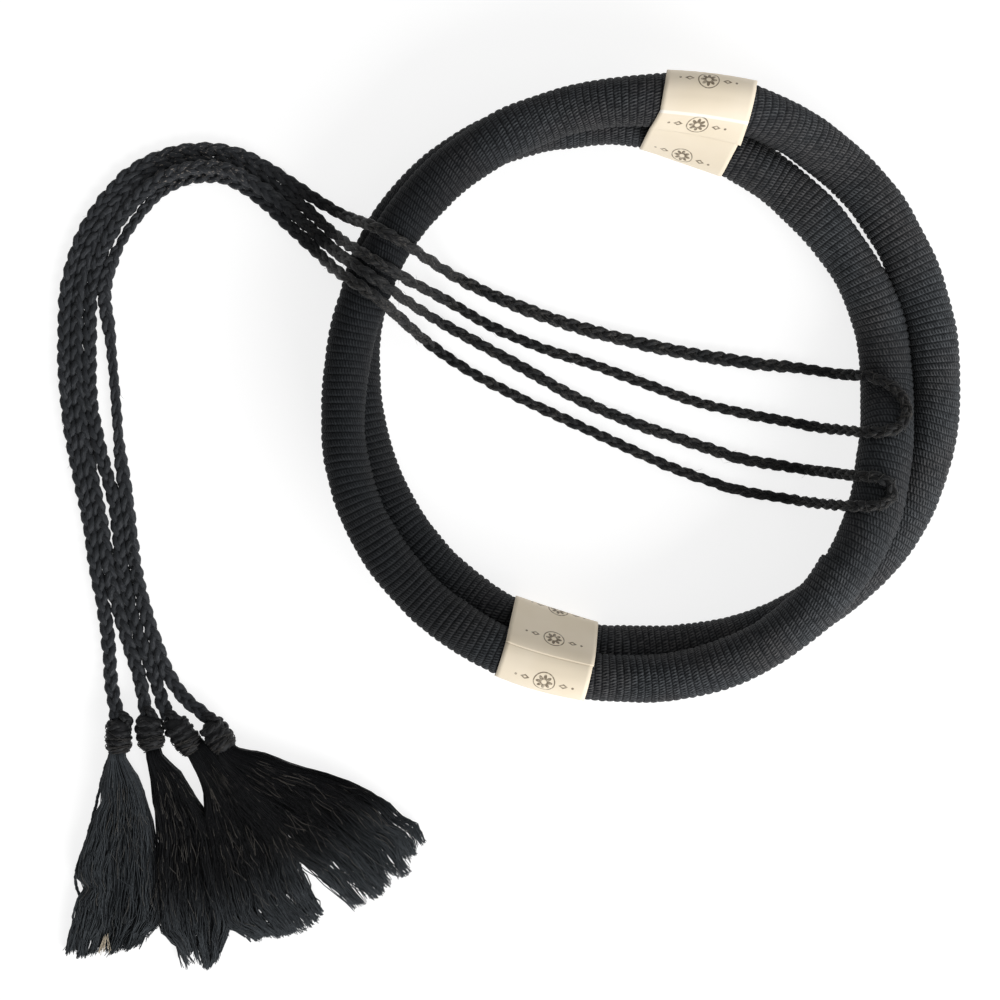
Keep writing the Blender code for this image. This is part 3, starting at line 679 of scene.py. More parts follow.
def paper_material(name, line_at, line_half, painted_line_colour, painted_line_share):
    """U and V are millimetres across and round the band; one line runs straight across it, a painted highlight on one
    band and a painted shadow on the other.
    """
    n = Nodes(name, 0.55, specular=0.25, coat=0.04, coat_roughness=0.3)
    vector, u, v = n.uv()
    where = n.place()
    grain = n.noise(where, 1500.0, 3.0)
    cloud = n.noise(where, 60.0, 2.0)
    base = n.mix(n.span(cloud, 0.3, 0.7), (0.785, 0.685, 0.530), (0.815, 0.718, 0.570))
    # a small printed rosette between two lozenges, repeated round the band
    y = n.math("SUBTRACT", n.math("FRACT", n.math("DIVIDE", v, 16.2)), 0.5)
    y = n.math("MULTIPLY", y, 16.2)
    x = n.math("SUBTRACT", u, 0.6)
    reach = n.math("SQRT", n.math("ADD", n.math("MULTIPLY", x, x), n.math("MULTIPLY", y, y)))
    turn = n.math("ARCTAN2", y, x)
    petal = n.math("ADD", n.math("MULTIPLY", n.math("ABSOLUTE", n.math("COSINE", n.math("MULTIPLY", turn, 4.0))), 1.35), 1.35)
    flower = n.span(n.math("SUBTRACT", reach, petal), 0.12, -0.12)
    eye = n.math("MULTIPLY", n.span(reach, 0.95, 0.75), 1.0)
    ring = n.span(n.math("ABSOLUTE", n.math("SUBTRACT", reach, 3.35)), 0.26, 0.12)
    side = n.math("ABSOLUTE", n.math("SUBTRACT", n.math("ABSOLUTE", x), 6.2))
    lozenge = n.math("ADD", n.math("MULTIPLY", side, 0.62), n.math("ABSOLUTE", y))
    mark = n.span(lozenge, 1.05, 0.85)
    hollow = n.span(lozenge, 0.35, 0.50)
    mark = n.math("MULTIPLY", mark, hollow)
    dots = n.math("ABSOLUTE", n.math("SUBTRACT", n.math("ABSOLUTE", x), 9.2))
    dots = n.math("SQRT", n.math("ADD", n.math("MULTIPLY", dots, dots), n.math("MULTIPLY", y, y)))
    dot = n.span(dots, 0.50, 0.34)
    ink = n.math("MAXIMUM", n.math("MULTIPLY", flower, n.math("SUBTRACT", 1.0, eye)), ring)
    ink = n.math("MAXIMUM", ink, n.math("MAXIMUM", mark, dot))
    worn = n.span(n.noise(where, 900.0, 2.0), 0.30, 0.55, 0.55, 1.0)
    ink = n.math("MULTIPLY", ink, worn)
    base = n.mix(n.math("MULTIPLY", ink, 0.9), base, (0.110, 0.078, 0.044))
    # the edge of the lap below shows as a painted highlight, a pale line, on one band and as a painted shadow, a dark
    # line, on the other
    line = n.span(n.math("ABSOLUTE", n.math("SUBTRACT", v, line_at)), line_half * 1.5, line_half * 0.6)
    n.colour(n.mix(n.math("MULTIPLY", line, painted_line_share), base, painted_line_colour))
    n.bump(grain, 0.00004, 0.5)
    return n.material


# ---------------------------------------------------------------- head cord
def ripples(rng, n, m, waves, along, around):
    """A smooth field over (n, m) that closes both ways."""
    i, j = np.arange(n)[:, None] / n, np.arange(m)[None] / m
    field = np.zeros((n, m))
    for _ in range(waves):
        a, b = rng.integers(1, along + 1), rng.integers(-around, around + 1)
        field += np.cos(2 * np.pi * (a * i + b * j) + rng.uniform(0, 6.28))
    return field / math.sqrt(waves / 2)


def closed_smooth(values, parts):
    values = np.asarray(values, float).reshape(len(values), -1)
    n = len(values)
    x = np.arange(n * parts) / parts
    i, f = np.floor(x).astype(int), (x % 1)[:, None]
    p0, p1, p2, p3 = (values[(i + k) % n] for k in (-1, 0, 1, 2))
    return 0.5 * (2 * p1 + (p2 - p0) * f + (2 * p0 - 5 * p1 + 4 * p2 - p3) * f**2 + (3 * p1 - p0 - 3 * p2 + p3) * f**3)


def head_cord():
    fine = closed_smooth(np.column_stack([RING_MIDDLE, RING_RADIUS, np.arange(len(RING_RADIUS)) * 0.0]), 12)
    path = np.arange(len(fine)) * 2.5 / 12
    loop = np.vstack([fine, fine[:1]])
    run = distances(loop[:, :3])
    ribs = int(round(run[-1] / RIB_PITCH))
    n, m = ribs * RIB_STEPS, RING_SIDES
    at = np.arange(n) * run[-1] / n
    take = lambda column: np.interp(at, run, column)
    middle = np.stack([take(loop[:, k]) for k in range(3)], 1)
    radius = take(loop[:, 3])
    path = np.interp(at, run, np.append(path, 720.0))
    along = unit(np.roll(middle, -1, 0) - np.roll(middle, 1, 0))
    out = unit(np.cross([0.0, 0.0, 1.0], along))
    up = np.cross(along, out)
    e = 2 * (np.arange(n) % RIB_STEPS) / RIB_STEPS - 1
    pillow = RIB_DEPTH * (np.sqrt(1 - 0.94 * e * e) - 1) + RIB_SWELL
    rng = np.random.default_rng(11)
    size = rng.normal(0, 0.05, ribs)
    each = np.repeat(size, RIB_STEPS) * (1 - np.abs(e))
    turn = 2 * np.pi * np.arange(m) / m
    r = radius[:, None] + pillow[:, None] * (1 + 0.12 * ripples(rng, n, m, 24, 90, 5)) + each[:, None]
    r = r + 0.10 * ripples(rng, n, m, 30, 60, 3)
    # where the knitted sleeve ends it stands up over the stretch before it, inside the ring
    inner = 0.5 - 0.5 * np.cos(turn)
    inner = inner**1.5
    past = path - 42.3
    step = np.where((past > 0) & (past < 11), 0.95 * np.exp(-past / 4.2) * ease(past / 0.25), 0.0)
    step += np.where((past <= 0) & (past > -5), -0.55 * np.exp(past / 1.6), 0.0)
    r = r + step[:, None] * inner[None]
    # side by side at the upper right, the turns leave a slit and then lean on each other
    for first, faces in ((304.0, -1), (664.0, 1)):
        here = (path - first) % 720.0
        slit = ease(here / 4) * ease((27.5 - here) / 3) * -0.18
        press = ease((here - 27.5) / 3) * ease((68.0 - here) / 8) * 0.50
        r = r + np.where(here < 68.0, slit + press, 0.0)[:, None] * np.maximum(faces * np.cos(turn), 0)[None] ** 1.5
    shift = 0.28 * ripples(rng, n, m, 30, 40, 2)
    points = (middle[:, None] + shift[..., None] * along[:, None]
              + (r * np.cos(turn)[None])[..., None] * out[:, None]
              + (r * np.sin(turn)[None])[..., None] * up[:, None])
    points[..., 2] = np.maximum(points[..., 2], 0.06)
    u = np.arange(n + 1) / RIB_STEPS
    v = np.arange(m + 1) * WALES / m
    uv = np.stack(np.meshgrid(u, v, indexing="ij"), -1)
    i, j = np.meshgrid(np.arange(n), np.arange(m), indexing="ij")
    i2, j2 = (i + 1) % n, (j + 1) % m
    quads = np.stack([i * m + j, i2 * m + j, i2 * m + j2, i * m + j2], -1).reshape(-1, 4)
    corner = np.stack([uv[:-1, :-1], uv[1:, :-1], uv[1:, 1:], uv[:-1, 1:]], 2).reshape(-1, 4, 2)
    # the stretch by the sewn folds is rubbed darker and flatter
    on_top = ease((path - 0) / 1.0) * 0 + 1
    worn = ease((path + 18) / 8) * ease((50 - path) / 10) + ease((path - 700) / 10)
    values = np.repeat((worn * on_top)[:, None], m, 1)
    return make_mesh("knit_cord", points.reshape(-1, 3), [quads], [corner], knit_material(), {"worn": values})


# ---------------------------------------------------------------- paper bands
def crossings(plane_point, plane_way):
    found = []
    side = (RING_MIDDLE[:, :2] - plane_point) @ plane_way
    for k in range(len(side)):
        n = (k + 1) % len(side)
        if side[k] * side[n] > 0:
            continue
        f = side[k] / (side[k] - side[n])
        middle = RING_MIDDLE[k] * (1 - f) + RING_MIDDLE[n] * f
        if np.linalg.norm(middle[:2] - plane_point) > 60:
            continue
        along = unit(RING_MIDDLE[n] - RING_MIDDLE[k])
        radius = RING_RADIUS[k] * (1 - f) + RING_RADIUS[n] * f
        found.append((middle, radius / abs(along[:2] @ plane_way), radius))
    return found


def band_outline(point, out, turns, slack, inner_slack, offset, count):
    """One round of the paper: points at even distances, from its outermost one over the top."""
    line = []
    for turn in np.linspace(0, 2 * math.pi, 361)[:-1]:
        c, s = math.cos(turn), math.sin(turn)
        best = None
        for centre, wide, radius in turns:
            spread = math.hypot(wide * c, radius * s)
            mid = (centre[:2] - point) @ out
            support = mid * c + centre[2] * s + spread
            if best is None or support > best[0]:
                best = (support, mid + wide * wide * c / spread, centre[2] + radius * radius * s / spread)
        loose = slack * max(c, 0.0) + inner_slack * max(-c, 0.0)
        u = best[1] + (offset + loose) * c
        height = best[2] + (offset + loose) * s
        if s < -FLAT_BELOW:
            height = BAND_LIFT - offset
        line.append((u, height))
    line = np.array(line + line[:1])
    run = distances(line)
    at = np.linspace(0, run[-1], count + 1)[:-1]
    return np.stack([np.interp(at, run, line[:, k]) for k in range(2)], 1), run[-1]


def band(name, centre_angle, edge_way, slack, lap, lean, line):
    """Paper drawn round both turns.  The lap runs between two shares of the round and reaches
    past the paper below it on the first and the last edge.  lean: at shares of the round, how
    far the first and the last edge lie off their straight course.  line: share of the round,
    half width, colour and strength of the painted line across the paper: a highlight on the first band, a shadow on the
    second."""
    on_ring = math.radians(centre_angle)
    out = np.array([math.cos(math.radians(edge_way)), math.sin(math.radians(edge_way))])
    across = np.array([-out[1], out[0]])
    middle = np.array(RING_CENTRE) + 95.0 * np.array([math.cos(on_ring), math.sin(on_ring)])
    count, cells = 150, 20
    round_length = band_outline(middle, out, crossings(middle, across), 0, 0, BAND_GAP, 720)[1]
    lean = np.array(lean)

    def surface(offset, past, first, last, steps):
        rings, lengths = [], []
        shares = np.linspace(-0.5, 0.5, cells + 1)
        places = shares * BAND_WIDTH + np.interp(shares, (-0.5, 0.5), past)
        at = np.linspace(first, last, steps + 1)
        for share, where in zip(shares, places):
            straight = 1 - (2 * share) ** 2
            off = (np.interp(at % 1.0, lean[:, 0], lean[:, 1]) * (0.5 - share)
                   + np.interp(at % 1.0, lean[:, 0], lean[:, 2]) * (0.5 + share))
            levels = np.linspace(off.min() - 0.01, off.max() + 0.01, 4)
            picks = []
            for level in levels:
                place = middle + across * (where + level)
                line, _ = band_outline(place, out, crossings(place, across), slack * (1 - straight),
                                       1.1 * straight, offset, 720)
                closed = np.vstack([line, line, line[:1]])
                picks.append(np.stack([np.interp(at * 720, np.arange(len(closed)), closed[:, c]) for c in range(2)], 1))
            picks = np.array(picks)
            rung = (off - levels[0]) / (levels[1] - levels[0])
            below = np.clip(rung.astype(int), 0, 2)
            above = (rung - below)[:, None]
            nth = np.arange(len(off))
            pick = picks[below, nth] * (1 - above) + picks[below + 1, nth] * above
            place = middle + across * where
            rings.append(np.column_stack([place[0] + out[0] * pick[:, 0] + across[0] * off,
                                          place[1] + out[1] * pick[:, 0] + across[1] * off, pick[:, 1]]))
            lengths.append((at % 1.0 if last > 1.0 else at) * round_length)
        return np.array(rings), places, np.array(lengths)

    def strip(parts, offset, past, first, last, closed):
        steps = count if closed else int(count * (last - first))
        outer, u, v = surface(offset + PAPER, past, first, last, steps)
        inner, _, _ = surface(offset, past, first, last, steps)
        if closed:
            # a closed loop's section runs round the paper: outer face and inner face, for each station
            outer, inner = outer[:, :-1], inner[:, :-1]
        # stations go round; each station's section is the strip's outline: outer across, inner back
        section = np.concatenate([outer, inner[::-1]], 0).transpose(1, 0, 2)
        uu = np.concatenate([u, u[::-1]])
        uv = np.empty((steps + 1, len(uu) + 1, 2))
        uv[..., 0] = np.append(uu, uu[0])[None]
        vv = np.concatenate([v, v[::-1]], 0)
        uv[..., 1] = np.concatenate([vv, vv[:1]], 0).T
        if closed:
            rings = section[None]
            full = uv[None]
            self_closed_tubes(parts, rings, full)
        else:
            parts.tubes(section[None], uv[None])

    def self_closed_tubes(parts, rings, uv):
        t, n, m, _ = rings.shape
        i, j = np.arange(n)[:, None], np.arange(m)[None]
        i2, j2 = (i + 1) % n, (j + 1) % m
        quads = np.stack([i * m + j, i * m + j2, i2 * m + j2, i2 * m + j], -1).reshape(-1, 4)
        corner = np.stack([uv[0, :-1, :-1], uv[0, :-1, 1:], uv[0, 1:, 1:], uv[0, 1:, :-1]], 2).reshape(-1, 4, 2)
        parts.add_faces(quads, corner)
        parts.points.append(rings.reshape(-1, 3))
        parts.count += n * m

    parts = Parts()
    strip(parts, BAND_GAP + 0.22, (0.0, 0.0), 0.0, 1.0, True)
    strip(parts, BAND_GAP + 0.22 + PAPER + 0.02, (-lap[2], lap[3]), lap[0], lap[1], False)
    return parts.done(name, paper_material(name, line[0] * round_length, *line[1:]))


# ---------------------------------------------------------------- braided cords
def braid_tubes(line, first, last, wide=BRAID_WIDE, high=BRAID_HIGH, strand=STRAND, pitch=BRAID_PITCH,
                step=BRAID_STEP, sides=10, seed=3, roll=0.45, level=True, lobes=3, beat=None, size=None,
                loosen=0.10):
    """Three strands plaited along a line (n, 3), between two distances along it."""
    run = distances(line)
    count = max(6, int(round((last - first) / step)) + 1)
    at = np.linspace(first, last, count)
    pad = np.concatenate([[at[0] - 0.5], at, [at[-1] + 0.5]])
    middle = smooth(run, line, np.clip(pad, run[0], run[-1]))
    if pad[0] < run[0]:
        middle[0] = middle[1] - (middle[2] - middle[1]) * 0.5 / (at[1] - at[0])
    if pad[-1] > run[-1]:
        middle[-1] = middle[-2] + (middle[-2] - middle[-3]) * 0.5 / (at[1] - at[0])
    if level:
        _, side, up = frames(middle)
    else:
        _, side, up = (a[0] for a in carried_frames(middle[None]))
    middle, side, up = middle[1:-1], side[1:-1], up[1:-1]
    rng = np.random.default_rng(seed)
    tilt = sum(roll / 1.6 * np.sin(2 * np.pi * at / w + p) for w, p in zip((61.0, 97.0, 37.0), rng.uniform(0, 6.28, 3)))
    c, s = np.cos(tilt)[:, None], np.sin(tilt)[:, None]
    side, up = side * c + up * s, up * c - side * s
    loose = (1 + loosen * np.sin(2 * np.pi * at / 23.0 + rng.uniform(0, 6.28))
             + 0.6 * loosen * np.sin(2 * np.pi * at / 9.1 + rng.uniform(0, 6.28)))
    scale = np.ones(count) if size is None else np.interp(at, run, size)
    turned = at / pitch if beat is None else np.interp(at, run, beat)
    lines = []
    for k in range(3):
        phase = 2 * np.pi * (turned + k / 3)
        lines.append(middle + side * (wide * scale * loose * np.sin(phase))[:, None]
                     + up * (high * scale * np.sin(2 * phase))[:, None])
    lines = np.array(lines)
    radii = strand * scale * (1 + 0.05 * np.sin(2 * np.pi * at / 11.0)[None]
                              + 0.03 * np.cos(2 * np.pi * at[None] / 5.3 + np.arange(3)[:, None]))
    rings = round_tubes(lines, radii, sides, lobes=lobes, depth=0.075, pitch=6.5, seed=seed)
    rings[..., 2] = np.maximum(rings[..., 2], 0.06)
    around = np.linspace(0, 1, sides + 1)
    uv = np.empty((3, count, sides + 1, 2))
    uv[..., 0] = at[None, :, None] + np.arange(3)[:, None, None] * 37.0
    uv[..., 1] = around[None, None]
    return rings, uv, middle


def fluff(parts, middle, radius, number, seed, length=(1.2, 3.6), thick=0.045):
    """Loose fibres standing off a cord."""
    rng = np.random.default_rng(seed)
    pick = rng.integers(2, len(middle) - 2, number)
    along = unit(middle[np.minimum(pick + 1, len(middle) - 1)] - middle[pick - 1])
    off = unit(np.cross(along, rng.normal(size=(number, 3))))
    off[:, 2] = np.abs(off[:, 2]) * 0.7
    start = middle[pick] + off * radius * 0.8
    size = rng.uniform(*length, number)[:, None]
    way = unit(off * rng.uniform(0.15, 0.6, (number, 1)) + along * rng.choice([-1, 1], (number, 1)))
    bend = unit(rng.normal(size=(number, 3))) * 0.45
    t = np.linspace(0, 1, 6)[None, :, None]
    lines = start[:, None] + way[:, None] * size[:, None] * t + bend[:, None] * size[:, None] * t * t * 0.5
    lines[..., 2] = np.maximum(lines[..., 2], 0.12)
    rings = round_tubes(lines, thick * np.array([1, 1, 1, 0.9, 0.7, 0.3])[None], 3)
    uv = np.zeros((number, 6, 2))
    uv[..., 0] = np.linspace(0, 3, 6)[None] + rng.uniform(0, 50, (number, 1))
    parts.tubes(rings, uv)


# ---------------------------------------------------------------- knots
def knot_axis(number):
    knot = KNOTS[number - 1]
    entry, leave = np.array([*knot[:2], KNOT_HEIGHT]), np.array([*knot[2:4], KNOT_HEIGHT])
    length = float(np.linalg.norm(leave - entry))
    along = (leave - entry) / length
    side = np.cross([0.0, 0.0, 1.0], along)
    return entry, along, side, length, knot[4] / 2


KNOT_TURNS = (
    # turns, handedness, first angle, tilt of a turn, lump aside, lump along, lump height
    (3.0, 1, 40.0, 0.9, 3.2, -0.9, 1.0),
    (3.1, -1, 200.0, 0.7, 2.2, -0.6, 1.2),
    (3.9, 1, 110.0, 1.1, 1.6, 0.4, 1.4),
    (3.1, 1, 300.0, 0.9, 2.2, 1.3, 1.3),
)


KNOT_SHIFT = ((0.8, 0.3), (-0.2, 1.0), (0.2, -0.2), (0.0, 0.0))     # how each one sits to one side


def knot(number, body_finish, wrap_finish):
    entry, along, side, length, half = knot_axis(number)
    entry = entry + np.array([*KNOT_SHIFT[number - 1], 0.0])
    half = half * 1.03
    up = np.array([0.0, 0.0, 1.0])
    turns, hand, first, tilt, lump_side, lump_along, lump_up = KNOT_TURNS[number - 1]

    def at(t, a, r, squash=1.0):
        return (entry + along * t[:, None] + side * (r * np.cos(a))[:, None] + up * (r * np.sin(a) * squash)[:, None])

    parts = Parts()
    # core
    t = np.linspace(0.2, length - 0.2, 12)
    swell = np.interp(t / length, (0, 0.12, 0.4, 0.7, 0.9, 1.0), (0.42, 0.68, 0.86, 0.88, 0.80, 0.62)) * half
    turn = 2 * np.pi * np.arange(12) / 12
    core = np.array([entry + along * tt + side * (rr * np.cos(turn))[:, None] + up * (rr * np.sin(turn))[:, None]
                     for tt, rr in zip(t, swell)])
    uv = np.zeros((1, 12, 2)); uv[0, :, 0] = t
    parts.tubes(core[None], uv)
    # the cord's own turns round itself
    thin = 1.42
    count = int(turns * 30)
    f = np.linspace(0, 1, count)
    angle = np.radians(first) + hand * 2 * np.pi * turns * f
    inward = ease(np.minimum(f, 1 - f) / 0.06)
    r = (half - thin) * (0.55 + 0.45 * inward) * np.interp(f, (0, 0.15, 0.5, 0.85, 1), (0.90, 1.0, 1.0, 0.97, 0.86))
    tt = 1.3 + (length - 3.4) * f + tilt * np.sin(angle + 0.6)
    coil = at(tt, angle, r)
    rings, uv, _ = braid_tubes(coil, 0, distances(coil)[-1], wide=0.72, high=0.42, strand=0.78, pitch=9.0,
                               step=0.5, sides=8, seed=number + 20, roll=0.2, level=False)
    parts.tubes(rings, uv)
    # a lump where the cord goes under its own first turn
    centre = entry + along * (1.0 + lump_along) + side * lump_side + up * lump_up
    loop = np.array([entry + along * -2.2 + up * 0.2, entry + along * -1.2 + side * lump_side * 0.65 + up * 1.4,
                     centre + side * np.sign(lump_side) * 0.35, centre + along * 2.6 - up * 0.9 - side * lump_side * 0.1,
                     entry + along * 4.6 + side * lump_side * 0.35 - up * 1.2])
    loop = even(loop, 0.5)
    rings, uv, _ = braid_tubes(loop, 0, distances(loop)[-1], wide=0.78, high=0.45, strand=0.80, pitch=9.0,
                               step=0.5, sides=8, seed=number + 40, roll=0.2, level=False)
    parts.tubes(rings, uv)
    body = parts.done("knot_body_%d" % number, body_finish)

    # fine thread wound round the lower half
    parts = Parts()
    rng = np.random.default_rng(number + 70)
    for k, (start, stop, rounds) in enumerate(((0.62, 0.98, 2.2), (0.55, 0.90, 1.3), (0.40, 0.80, 1.1), (0.66, 1.00, 1.6),
                                               (0.30, 0.85, 0.9), (0.74, 1.02, 1.8))):
        count = int(26 * rounds)
        f = np.linspace(0, 1, count)
        angle = rng.uniform(0, 6.28) + (1 if k % 2 else -1) * 2 * np.pi * rounds * f
        tt = length * (start + (stop - start) * f) + rng.uniform(0.4, 0.9) * np.sin(angle + rng.uniform(0, 6.28)) * 1.7
        profile = np.interp(tt / length, (0.0, 0.25, 0.5, 0.78, 0.9, 1.02), (0.78, 0.92, 0.95, 0.92, 0.80, 0.63)) * half
        line = at(tt, angle, profile + 0.02 + 0.10 * np.sin(angle * 3.1))
        tube = round_tubes(line[None], rng.uniform(0.13, 0.19), 6, lobes=2, depth=0.12, pitch=1.6, seed=k)
        tube[..., 2] = np.maximum(tube[..., 2], 0.06)
        uv = np.zeros((1, count, 7, 2)); uv[0, :, :, 0] = distances(line)[:, None]; uv[0, :, :, 1] = np.linspace(0, 1, 7)[None]
        parts.tubes(tube, uv)
    wraps = parts.done("knot_wraps_%d" % number, wrap_finish)
    return body, wraps


# ---------------------------------------------------------------- tassels
FRINGE_ENDS = (
    # share across from left to right, where the threads end, for each tassel in turn
    ((-1.0, 1.01), (-0.72, 0.985), (-0.55, 1.03), (-0.25, 1.02), (-0.1, 0.985), (0.05, 0.985), (0.18, 1.035),
     (0.55, 1.02), (0.80, 1.01), (0.90, 0.985), (0.94, 0.92), (1.0, 0.87)),
    ((-1.0, 0.85), (-0.92, 0.87), (-0.87, 0.98), (-0.8, 1.04), (-0.68, 0.97), (-0.3, 0.96), (-0.1, 1.06),
     (0.42, 1.06), (0.8, 1.01), (0.9, 0.97), (1.0, 0.90)),
    ((-1.0, 0.84), (-0.90, 0.85), (-0.85, 0.98), (-0.8, 1.01), (-0.57, 0.995), (-0.4, 1.03), (0.1, 1.05),
     (0.55, 1.06), (0.75, 1.035), (0.9, 1.02), (1.0, 1.0)),
    ((-1.0, 1.02), (-0.8, 1.02), (-0.6, 1.03), (-0.3, 1.05), (-0.1, 1.03), (0.0, 0.985), (0.1, 1.02),
     (0.22, 1.07), (0.33, 1.065), (0.42, 0.975), (0.55, 1.02), (0.85, 1.0), (1.0, 1.0)),
)
FRINGE_SPREAD = (
    # share of the way, how much further than the frame's form it reaches to the left and right
    ((0.0, 0.0, 0.0), (0.14, 0.06, 0.0), (0.175, -0.03, 0.0), (0.21, -0.20, 0.0), (0.25, -0.07, 0.01),
     (0.28, 0.04, 0.02), (0.42, 0.05, 0.04), (0.52, 0.04, 0.14), (0.60, 0.03, 0.15), (0.635, -0.04, 0.15),
     (0.67, -0.22, 0.15), (0.71, -0.12, 0.15), (0.74, 0.0, 0.16), (0.82, -0.08, 0.20), (0.87, -0.08, 0.20),
     (0.92, -0.05, 0.0), (1.0, 0.02, 0.0)),
    ((0.0, 0.0, 0.0), (0.18, 0.0, 0.00), (0.27, 0.0, 0.06), (0.40, 0.03, 0.18), (0.50, 0.16, 0.20),
     (0.80, 0.24, 0.20), (0.86, 0.40, 0.18), (0.93, 0.04, 0.10), (1.0, 0.02, 0.05)),
    ((0.0, 0.0, 0.95), (0.05, 0.0, 0.95), (0.11, -0.10, 0.60), (0.18, -0.10, 0.30), (0.25, 0.02, 0.26), (0.32, 0.20, 0.22),
     (0.68, 0.20, 0.20), (0.78, 0.20, 0.05), (0.88, 0.20, 0.05), (0.93, 0.0, 0.07), (1.0, 0.0, 0.06)),
    ((0.0, 0.55, 0.0), (0.05, 0.55, 0.0), (0.11, 0.30, 0.0), (0.2, 0.20, -0.03), (0.386, 0.20, -0.11),
     (0.55, 0.20, -0.07), (0.66, 0.20, -0.06), (0.72, 0.12, -0.06), (0.80, 0.02, -0.14), (0.88, 0.02, -0.02),
     (1.0, 0.04, 0.0)),
)


